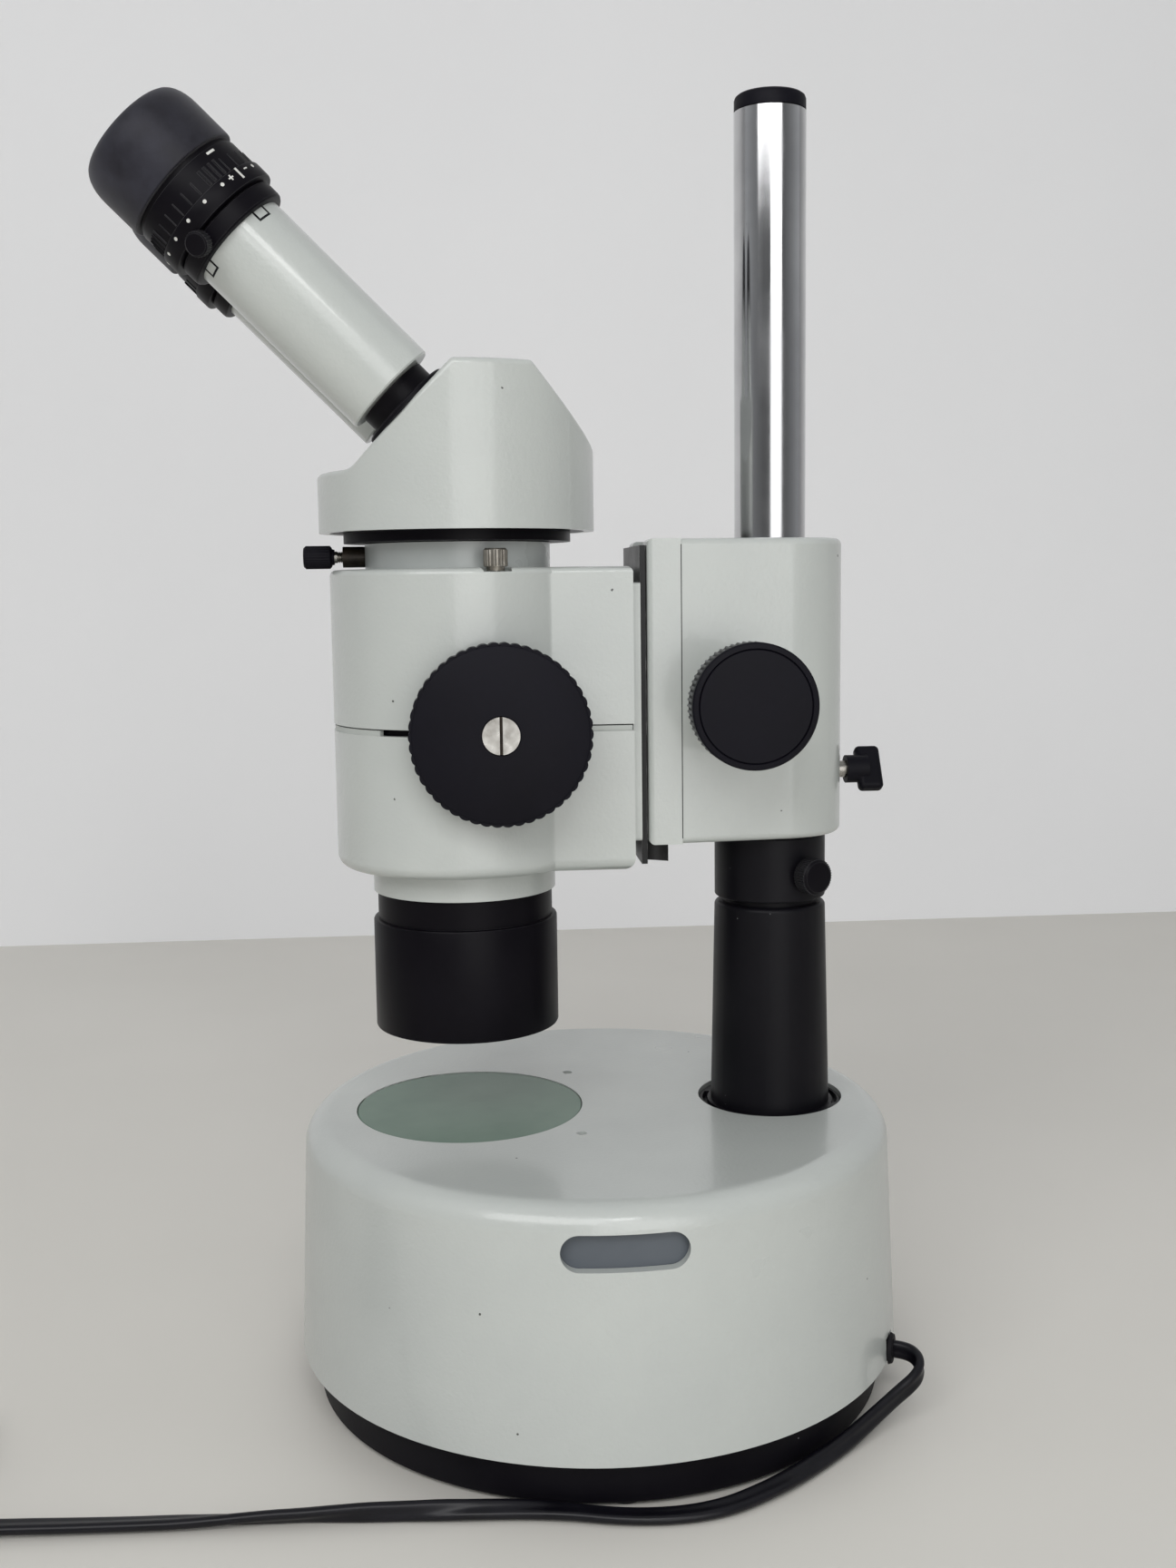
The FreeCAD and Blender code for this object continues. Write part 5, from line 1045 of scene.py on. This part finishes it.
# ---- zoom body --------------------------------------------------------------------------------
@dataclass
class ZoomBody:
    """Zoom body with its knobs and objective; the seam parts its upper shell from its lower one."""

    axis_y: float = -33.6
    axis_z: float = 238.7
    knob_radius: float = 29.8
    knob_back: float = 46.2
    knob_face: float = 57.0
    hub_radius: float = 8.0
    hub_low: float = 42.2
    hub_depth: float = 5.0
    shaft_radius: float = 3.0
    screw_radius: float = 6.15
    screw_seat: float = 54.2
    notches: int = 50
    notch_depth: float = 0.75
    tooth_depth: float = 3.8
    slot_half: float = 0.55
    block_half: float = 32.0
    block_depth: float = 3.0
    rear_y: float = 12.1
    corner_y: float = -15.0
    body_radius: float = 44.5
    seam_low: float = 237.4
    band_top: float = 239.25
    band_recess: float = 0.35
    band_depth: float = 2.2
    strip_recess: float = 0.3
    strip_edge: float = 0.1
    strip_lap: float = 4.0
    strip_gap: float = 0.6
    band_half_angle: float = 52.0
    top_screw: tuple[float, float] = (40.0, -33.9)
    top_screw_low: float = 291.4
    top_screw_high: float = 298.7
    top_screw_core: float = 3.8

    def build(self) -> None:
        """Build the body's pieces."""
        for node in ("body_upper_shell", "body_lower_shell", "body_bracket"):
            skin(node, ENAMEL, "carriage")
        skin("body_chassis", BLACK_ANODISED, "carriage")
        sleeve = Accent((-5, -90, 292), (5, -78.4, 302), BROWN_SLEEVE)
        skin("head_ring", RING_PAINT, "carriage", sleeve)
        dress(BLACK_ANODISED, "upper_lens_carriage", "lower_lens_carriage")
        dress(TURNED_STEEL, "zoom_shaft")
        # The box round the screws' slots, whose faces get painted shade.
        reach = self.knob_face + 3
        head = self.screw_radius + 0.85
        slots = Accent((-reach, self.axis_y - self.slot_half, self.axis_z - head),
                       (reach, self.axis_y + self.slot_half, self.axis_z + head), SLOT_SHADE)
        skin("knob_screws", SPOTTED_STEEL, "zoom", slots)
        for side in Side:
            self.knob(side)
            self.seam_strip(side)
        self.seam_band()
        self.objective()
        self.roof_screw()

    def knob(self, side: Side) -> None:
        """Build one knob: flat face and a rim of rounded teeth.

        Args:
            side: Which of the two.
        """
        place = frame_of(Vector((0, self.axis_y, self.axis_z)), RIGHT * side.value, UP)
        back = self.knob_back
        core = self.knob_radius - self.notch_depth
        face = self.knob_face
        profile = [(self.shaft_radius, self.hub_low), (self.hub_radius, self.hub_low),
                   (self.hub_radius, back), (core - 1.0, back), (core, back + 0.8), (core, face - 0.8),
                   (core - 0.35, face - 0.3), (core - 1.0, face),
                   (self.screw_radius + 0.3, face), (self.screw_radius, face - 0.3),
                   (self.screw_radius, self.screw_seat), (0, self.screw_seat), (0, back + self.hub_depth),
                   (self.shaft_radius, back + self.hub_depth)]
        pitch = 2 * math.pi * core / self.notches
        ribs = RibRing(self.notches, core - 1.15, back + 0.5, face - 0.45, pitch * 1.3, self.tooth_depth, 16)
        mesh = ribbed(profile, [ribs], MOULDED_BLACK, MOULDED_BLACK, place)
        link("zoom_wheel_" + side.word, mesh, MOULDED_BLACK, "zoom", "zoom_knob_" + side.word)

    def seam_strip(self, side: Side) -> None:
        """Lay the painted strip that fills the rear part of the seam.

        Args:
            side: Which flank.
        """
        outer = self.block_half - self.strip_recess
        inner = self.block_half - self.block_depth
        xs = sorted((side.value * outer, side.value * inner))
        low = (xs[0], self.corner_y - self.strip_lap, self.seam_low)
        high = (xs[1], self.rear_y - self.strip_gap, self.band_top)
        link("seam_strip_" + side.word, block(low, high, self.strip_edge), SEAM_ENAMEL, "carriage")

    def seam_band(self) -> None:
        """Lay the painted band that fills the front of the seam, as far as the knobs' recesses."""
        place = frame_of(Vector((0, OPTIC_Y, 0)), UP, BACK)
        radii = (self.body_radius - self.band_depth, self.body_radius - self.band_recess)
        span = (-90 - self.band_half_angle, -90 + self.band_half_angle)
        mesh = arc_bar(radii, (self.seam_low, self.band_top), span, place)
        link("seam_band", mesh, SEAM_ENAMEL, "carriage")

    def objective(self) -> None:
        """Build the objective tube, with the fine turned steps of its front, and its front lens."""
        place = frame_of(Vector((0, OPTIC_Y, 0)), UP, BACK)
        profile = [(28.0, 130.7), (29.2, 130.7), (31.9, 130.72), (32.45, 130.95), (32.7, 131.5),
                   (32.7, 169.2), (32.45, 169.75), (31.9, 170.0), (31.0, 170.0), (31.0, 180.0),
                   (23.9, 180.0), (23.9, 186.0), (20.9, 186.0), (20.9, 170.0), (24.0, 170.0),
                   (24.0, 137.7), (26.4, 137.7), (26.6, 135.6), (27.2, 135.5), (27.3, 133.2),
                   (28.0, 133.0)]
        link("objective_tube", lathe(profile, place), BLACK_ANODISED, "carriage", "objective_barrel")
        # The front lens is near black: painted shade of the barrel behind it.
        lens = [(0, 138.9), (8, 138.75), (16, 138.3), (21, 137.85), (23.95, 137.7), (23.95, 153.7),
                (0, 153.7)]
        link("objective_front_lens", lathe(lens, place, closed=False), SHADED_LENS_GLASS, "carriage",
             "objective_lens")

    def roof_screw(self) -> None:
        """Build the small knurled screw on the roof."""
        place = frame_of(Vector((*self.top_screw, 0)), UP, BACK)
        low = self.top_screw_low
        high = self.top_screw_high
        core = self.top_screw_core
        profile = [(0, low - 5), (1.6, low - 5), (1.6, low), (2.9, low), (3.1, low + 1.2), (core, low + 1.3),
                   (core, high - 0.5), (core - 0.5, high), (1.6, high), (1.3, high - 0.5), (0, high - 0.5)]
        ribs = RibRing(24, core - 0.2, low + 1.5, high - 0.6, 0.6, 0.8, 6)
        mesh = ribbed(profile, [ribs], OLD_STEEL, OLD_STEEL, place, closed=False)
        link("roof_screw", mesh, OLD_STEEL, "top_screw", "top_screw")


# ---- head -------------------------------------------------------------------------------------
@dataclass
class Head:
    """Binocular head with its clamp screw; the screw's heights run forward from the optical axis."""

    clamp_height: float = 297.0
    tip: float = 26.3
    head_low: float = 42.7
    head_high: float = 53.3
    head_radius: float = 4.0
    stem_radius: float = 2.0
    thread_pitch: float = 0.7
    thread_depth: float = 0.35
    knurls: int = 30

    def build(self) -> None:
        """Build the head's pieces."""
        skin("head_housing", ENAMEL, "head")
        skin("head_disc", BLACK_ANODISED, "head")
        skin("tube_necks", BLACK_ANODISED, "head")
        dress(CLEAR_GLASS, "head_prisms")
        self.clamp_screw()

    def clamp_screw(self) -> None:
        """Build the front clamp screw: bare thread and knurled black head."""
        place = frame_of(Vector((0, OPTIC_Y, self.clamp_height)), -BACK, UP)
        low = self.head_low
        high = self.head_high
        crest = self.stem_radius
        stem = [(0, self.tip), (crest, self.tip)]
        along = self.tip + 0.4
        while along < low - 0.6:
            stem += [(crest - self.thread_depth, along), (crest, along + self.thread_pitch / 2)]
            along += self.thread_pitch
        stem += [(crest, low), (0, low)]
        thread = lathe(stem, place, closed=False, facets=32)
        thread.materials.append(TURNED_STEEL.material())
        core = self.head_radius - 0.2
        head = [(0, low), (2.6, low), (2.8, low + 0.8), (core - 0.4, low + 1.0), (core, low + 1.4),
                (core, high - 0.6), (core - 0.5, high), (0, high)]
        ribs = RibRing(self.knurls, core, low + 1.5, high - 0.7, 0.42, 0.38, 6)
        knob = ribbed(head, [ribs], MOULDED_BLACK, MOULDED_BLACK, place, closed=False)
        link("head_clamp", join("head_clamp", [thread, knob]), MOULDED_BLACK, "head_clamp",
             "head_clamp_screw")


# ---- eyepieces --------------------------------------------------------------------------------
@dataclass
class Eyepiece:
    """One inclined tube with its eyepiece.

    Heights run along the tube from the head's face, and angles round it, in degrees, from the
    outer side towards the back, as the right tube has them; the left one mirrors them.
    """

    side: Side
    half_spacing: float = 32.5
    foot_y: float = -61.02
    foot_z: float = 344.62
    tube_radius: float = 16.5
    tube_end: float = 70.6
    collar_low: float = 73.6
    collar_high: float = 80.0
    collar_radius: float = 19.25
    key_angle: float = 38.0
    key_width: float = 4.6
    key_length: float = 3.1
    key_line: float = 0.35
    lock_angle: float = -27.0
    lock_height: float = 77.4
    lock_low: float = 21.5
    lock_high: float = 25.7
    lock_radius: float = 3.75
    dotted_radius: float = 21.2
    ribbed_radius: float = 20.35
    rib_turn: float = 14.0
    row: float = 84.5
    dot_radius: float = 0.62
    dot_first: float = 20.5
    dot_step: float = 21.0
    sign_angle: float = 41.0
    sign_gap: float = 10.0
    sign_to_dot: float = 22.0
    index_row: float = 94.6
    paint_lift: float = 0.06
    cup_radius: float = 21.3
    cup_shoulder: float = 111.5
    cup_lip: float = 16.9
    cup_rise: float = 9.3
    lip_steps: int = 8

    def foot(self) -> Vector:
        """Where the tube's axis meets the head's face."""
        return Vector((self.side.value * self.half_spacing, self.foot_y, self.foot_z))

    def place(self) -> Matrix:
        """Matrix of the tube's own frame: Z along the tube, Y up and back across it."""
        return frame_of(self.foot(), TUBE_WAY, TUBE_ACROSS)

    def build(self) -> None:
        """Build the tube and all that it carries."""
        word = self.side.word
        tube_body = "tube_" + word
        eye_body = "eyepiece_" + word
        skin("eyepiece_tube_" + word, ENAMEL, tube_body)
        self.clamp_ring(tube_body)
        self.lock_screw("lock_screw_" + word)
        self.rings(eye_body)
        self.marks(eye_body)
        self.cup(eye_body)

    def clamp_ring(self, body: str) -> None:
        """Build the black ring, with the four outlined keys that show the painted tube.

        Args:
            body: CAD body that the ring rides on.
        """
        low = self.collar_low
        wide = self.collar_radius
        end = [(15.2, self.tube_end), (self.tube_radius, self.tube_end), (self.tube_radius, low + 0.4),
               (15.2, low + 0.4)]
        profile = [(15.0, low), (17.9, low), (18.6, low + 0.2), (19.1, low + 0.8), (wide, low + 1.6),
                   (wide, 79.4), (18.9, 79.9), (18.2, self.collar_high), (15.0, self.collar_high)]
        pieces = []
        for shape, finish in ((end, ENAMEL), (profile, BLACK_ANODISED)):
            mesh = lathe(shape, self.place())
            mesh.materials.append(finish.material())
            pieces.append(mesh)
        turn = math.degrees(self.key_width / 2 / self.tube_radius)
        foot = low - self.key_length
        for quarter in range(4):
            angle = self.key_angle + 90 * quarter
            bars = [(foot, angle, self.key_line, self.key_width / 2 + self.key_line)]
            bars += [((foot + low) / 2, angle + sign * turn, self.key_length / 2, self.key_line)
                     for sign in (1, -1)]
            for numbers in bars:
                outline = self.bar(self.tube_radius, *numbers)
                outline.materials.append(BLACK_ANODISED.material())
                pieces.append(outline)
        link("clamp_collar_" + self.side.word, join("clamp_collar", pieces), BLACK_ANODISED, body,
             "clamp_ring_" + self.side.word)

    def lock_screw(self, body: str) -> None:
        """Build the small knurled screw beside the ring.

        Args:
            body: CAD body that the screw rides on.
        """
        turn = math.radians(self.lock_angle)
        way = RIGHT * self.side.value * math.cos(turn) + TUBE_ACROSS * math.sin(turn)
        place = frame_of(self.foot() + TUBE_WAY * self.lock_height, way, TUBE_WAY)
        low = self.lock_low
        high = self.lock_high
        core = self.lock_radius
        profile = [(0, 14.8), (1.6, 14.8), (1.6, low), (3.2, low), (core, low + 0.5), (core, high - 0.6),
                   (3.3, high - 0.1), (2.4, high), (0, high)]
        ribs = RibRing(24, core, low + 0.5, high - 0.6, 0.55, 0.5, 6)
        mesh = ribbed(profile, [ribs], BLACK_ANODISED, BLACK_ANODISED, place, closed=False)
        link("lock_thumbscrew_" + self.side.word, mesh, BLACK_ANODISED, body,
             "lock_screw_" + self.side.word)

    def rings(self, body: str) -> None:
        """Build the eyepiece body: dotted ring, grouped ribs and the step under the cup.

        Args:
            body: CAD body that the eyepiece rides on.
        """
        wide = self.dotted_radius
        grip = self.ribbed_radius
        profile = [(12.5, 56.3), (14.5, 56.3), (14.5, 80.3), (20.5, 80.3), (21.0, 80.5), (wide, 81.0),
                   (wide, 85.8), (21.0, 86.2), (grip, 86.4), (grip, 95.2), (20.1, 96.0), (19.5, 96.2),
                   (19.5, 97.6), (12.5, 97.6)]
        grips = [RibRing(60, grip, 86.8, 92.2, 0.95, 0.95, group=15, keep=4),
                 RibRing(30, grip, 86.8, 91.4, 0.4, 0.5, 6)]
        turned = self.place() @ Matrix.Rotation(self.side.value * math.radians(self.rib_turn), 4, "Z")
        mesh = ribbed(profile, grips, BLACK_ANODISED, BLACK_ANODISED, turned)
        link("eyepiece_rings_" + self.side.word, mesh, BLACK_ANODISED, body,
             "diopter_ring_" + self.side.word)

    def turned(self, angle: float) -> float:
        """The right tube's angle, or its mirror on the left tube, in degrees."""
        return angle if self.side is Side.RIGHT else 180 - angle

    def bar(self, radius: float, middle: float, angle: float, half_length: float,
            half_width: float) -> bpy.types.Mesh:
        """Thin painted bar that follows a ring.

        Args:
            radius: Radius of the ring.
            middle: Height of the bar's centre along the tube.
            angle: Its place round the ring, in degrees.
            half_length: Half its size along the tube.
            half_width: Half its size round the ring.

        Returns:
            The bar's mesh.
        """
        at = self.turned(angle)
        half = math.degrees(half_width / radius)
        return arc_bar((radius - PAINT_SINK, radius + self.paint_lift),
                       (middle - half_length, middle + half_length), (at - half, at + half), self.place())

    def dot(self, angle: float) -> bpy.types.Mesh:
        """Round painted dot on the dotted ring.

        Args:
            angle: Its place round the ring, in degrees.

        Returns:
            The dot's mesh.
        """
        at = math.radians(self.turned(angle))
        way = Vector((math.cos(at), math.sin(at), 0))
        foot = way * self.dotted_radius + Vector((0, 0, self.row))
        disc = [(0, -PAINT_SINK), (self.dot_radius, -PAINT_SINK), (self.dot_radius, self.paint_lift),
                (0, self.paint_lift)]
        mesh = lathe(disc, Matrix.Identity(4), closed=False, facets=16)
        turn = way.to_track_quat("Z", "Y").to_matrix().to_4x4()
        mesh.transform(self.place() @ Matrix.Translation(foot) @ turn)
        return mesh

    def marks(self, body: str) -> None:
        """Paint the ring's dots, plus, line and minus, and one index bar below the cup.

        Args:
            body: CAD body that the eyepiece rides on.
        """
        angles = [self.dot_first - self.dot_step * i for i in range(6)]
        angles += [self.sign_angle + self.sign_to_dot + self.dot_step * i for i in range(5)]
        patches = [self.dot(angle) for angle in angles]
        ring = self.dotted_radius
        plus = self.sign_angle - self.sign_gap
        minus = self.sign_angle + self.sign_gap
        bars = [(ring, self.row, plus, 0.95, 0.24), (ring, self.row, plus, 0.24, 0.95),
                (ring, self.row - 0.3, self.sign_angle, 2.0, 0.42), (ring, self.row + 0.1, minus, 0.24, 0.8),
                (self.ribbed_radius, self.index_row, self.sign_angle - 4, 0.4, 1.7)]
        patches += [self.bar(*numbers) for numbers in bars]
        link("ring_marks_" + self.side.word, join("ring_marks", patches), MARK_WHITE, body)

    def cup(self, body: str) -> None:
        """Build the rubber cup, with its rolled rim and the lens inside.

        Args:
            body: CAD body that the eyepiece rides on.
        """
        wide = self.cup_radius
        shoulder = self.cup_shoulder
        profile = [(12.6, 97.7), (20.7, 97.7), (21.2, 98.0), (wide, 98.6), (wide, shoulder)]
        for step in range(1, self.lip_steps + 1):
            turn = math.pi / 2 * step / self.lip_steps
            profile.append((self.cup_lip + (wide - self.cup_lip) * math.cos(turn),
                            shoulder + self.cup_rise * math.sin(turn)))
        profile += [(16.2, 120.75), (15.6, 120.4), (15.2, 119.6), (13.8, 113.0), (12.6, 110.0)]
        link("rubber_cup_" + self.side.word, lathe(profile, self.place()), CUP_RUBBER, body,
             "eyecup_" + self.side.word)
        # The eye lens is near black: painted shade of the tube behind it.
        lens = [(0, 100.0), (12.4, 100.0), (12.4, 103.6), (9, 104.3), (5, 104.8), (0, 105.0)]
        link("eye_glass_" + self.side.word, lathe(lens, self.place(), closed=False), SHADED_LENS_GLASS, body,
             "eye_lens_" + self.side.word)


# ---- studio -----------------------------------------------------------------------------------
@dataclass
class Studio:
    """Pale floor and wall, soft light, and the camera.

    The camera's place and lens and the wall's place are in millimetres, and the camera's angles in
    radians.  The floor's reach and the lights' sizes and places are in metres.
    """

    eye: Point = (579.54, -47.83, 286.9)
    lens: float = 37.57
    pitch: float = 0.122
    yaw: float = 0.080
    roll: float = -0.013
    wall_x: float = -760.0
    wall_glow: float = 0.11
    reach: float = 6.0
    near_strength: float = 0.3

    def camera(self) -> None:
        """Place the camera beside the instrument, at the height of its body."""
        data = bpy.data.cameras.new("view")
        data.lens = self.lens
        camera = bpy.data.objects.new("view", data)
        bpy.context.scene.collection.objects.link(camera)
        ahead = Vector((-math.cos(self.pitch) * math.cos(self.yaw),
                        math.cos(self.pitch) * math.sin(self.yaw), -math.sin(self.pitch)))
        level = ahead.cross(UP).normalized()
        upward = level.cross(ahead)
        side = level * math.cos(self.roll) + upward * math.sin(self.roll)
        top = upward * math.cos(self.roll) - level * math.sin(self.roll)
        turn = Matrix((side, top, -ahead)).transposed().to_4x4()
        camera.matrix_world = Matrix.Translation(Vector(self.eye) * MM) @ turn
        bpy.context.scene.camera = camera

    def paint(self, name: str, code: str, other: str, roughness: float) -> bpy.types.Material:
        """Plain painted surface of the room, with slow drift in its colour.

        Args:
            name: Name of the material.
            code: Its colour.
            other: The colour it drifts to.
            roughness: Its roughness.

        Returns:
            The material.
        """
        finish = Finish(name, "", code, other, roughness, drift_mm=700, grain_mm=3, grain_depth_mm=0.02)
        return finish.material()

    def one_sided(self, material: bpy.types.Material) -> bpy.types.Material:
        """Let the wall glow a little, as one lit from the side, and be seen through from behind.

        Args:
            material: The wall's paint.

        Returns:
            The same material.
        """
        tree = material.node_tree
        shader = next(node for node in tree.nodes if node.type == "BSDF_PRINCIPLED")
        shader.inputs["Emission Color"].default_value = linear("#F0F1F4")
        shader.inputs["Emission Strength"].default_value = self.wall_glow
        output = next(node for node in tree.nodes if node.type == "OUTPUT_MATERIAL")
        clear = add_node(tree, "ShaderNodeBsdfTransparent")
        behind = add_node(tree, "ShaderNodeNewGeometry").outputs["Backfacing"]
        mixed = add_node(tree, "ShaderNodeMixShader", links={0: behind, 1: shader.outputs["BSDF"],
                                                            2: clear.outputs["BSDF"]})
        tree.links.new(mixed.outputs["Shader"], output.inputs["Surface"])
        return material

    def room(self) -> None:
        """Lay the floor and, far behind, the wall."""
        far = self.reach
        wall = self.wall_x * MM
        corners = {"floor": ((-far, -far, 0), (far, -far, 0), (far, far, 0), (-far, far, 0)),
                   "wall": ((wall, -far, 0), (wall, far, 0), (wall, far, far), (wall, -far, far))}
        paints = {"floor": self.paint("pale_bench_top", "#E4E1DA", "#DEDBD4", 0.5),
                  "wall": self.one_sided(self.paint("pale_wall", "#F3F3F4", "#EFEFF0", 0.8))}
        for name, points in corners.items():
            mesh = bpy.data.meshes.new(name)
            mesh.from_pydata(points, [], [(0, 1, 2, 3)])
            mesh.materials.append(paints[name])
            plane = bpy.data.objects.new(name, mesh)
            bpy.context.scene.collection.objects.link(plane)

    def light(self, name: str, power: float, size: tuple[float, float], eye: Point, target: Point) -> None:
        """Hang one soft white rectangular light.

        Args:
            name: Its name.
            power: Watts.
            size: Width and height in metres.
            eye: Its place in metres.
            target: The point it faces, in metres.
        """
        data = bpy.data.lights.new(name, "AREA")
        data.shape = "RECTANGLE"
        data.size, data.size_y = size
        data.energy = power
        lamp = bpy.data.objects.new(name, data)
        bpy.context.scene.collection.objects.link(lamp)
        way = Vector(target) - Vector(eye)
        lamp.matrix_world = Matrix.Translation(eye) @ way.to_track_quat("-Z", "Y").to_matrix().to_4x4()

    def world(self) -> None:
        """Surround everything with a soft grey room, darker low down and behind the camera."""
        world = bpy.data.worlds.new("room")
        bpy.context.scene.world = world
        world.use_nodes = True
        tree = world.node_tree
        tree.nodes.clear()
        way = add_node(tree, "ShaderNodeTexCoord").outputs["Generated"]
        parts = add_node(tree, "ShaderNodeSeparateXYZ", links={"Vector": way})
        rise = add_node(tree, "ShaderNodeMapRange", {"From Min": -0.4, "From Max": 0.7},
                        {"Value": parts.outputs["Z"]})
        colour = add_node(tree, "ShaderNodeMix", {"data_type": "RGBA", 6: linear("#77797B"),
                                                  7: linear("#C3C5C7")}, {0: rise.outputs["Result"]})
        near = add_node(tree, "ShaderNodeMapRange", {"From Min": 0.0, "From Max": 0.85, "To Min": 1.0,
                                                     "To Max": self.near_strength},
                        {"Value": parts.outputs["X"]})
        back = add_node(tree, "ShaderNodeBackground",
                        links={"Color": colour.outputs[2], "Strength": near.outputs["Result"]})
        add_node(tree, "ShaderNodeOutputWorld", links={"Surface": back.outputs["Background"]})

    def build(self) -> None:
        """Set the whole studio up: broad light from the upper right, a small one, and a low front one."""
        self.camera()
        self.room()
        self.world()
        self.light("key", 11.5, (1.3, 0.8), (1.3, -0.62, 1.2), (0, 0, 0.25))
        self.light("lamp", 1.2, (0.2, 0.2), (1.0, 0.1, 0.95), (0, -0.05, 0.25))
        self.light("front", 7, (0.9, 1.2), (1.4, 0.3, 0.4), (0, 0.06, 0.3))
        bpy.context.scene.view_settings.view_transform = "Standard"


def main() -> None:
    """Build the studio and every sub-assembly, in order."""
    Studio().build()
    parts = [Lead(), Base(), Pillar(), FocusDrive(), ZoomBody(), Head()]
    parts += [Eyepiece(side) for side in Side]
    for part in parts:
        LOG.info("building %s", type(part).__name__)
        part.build()


if __name__ == "__main__":
    main()
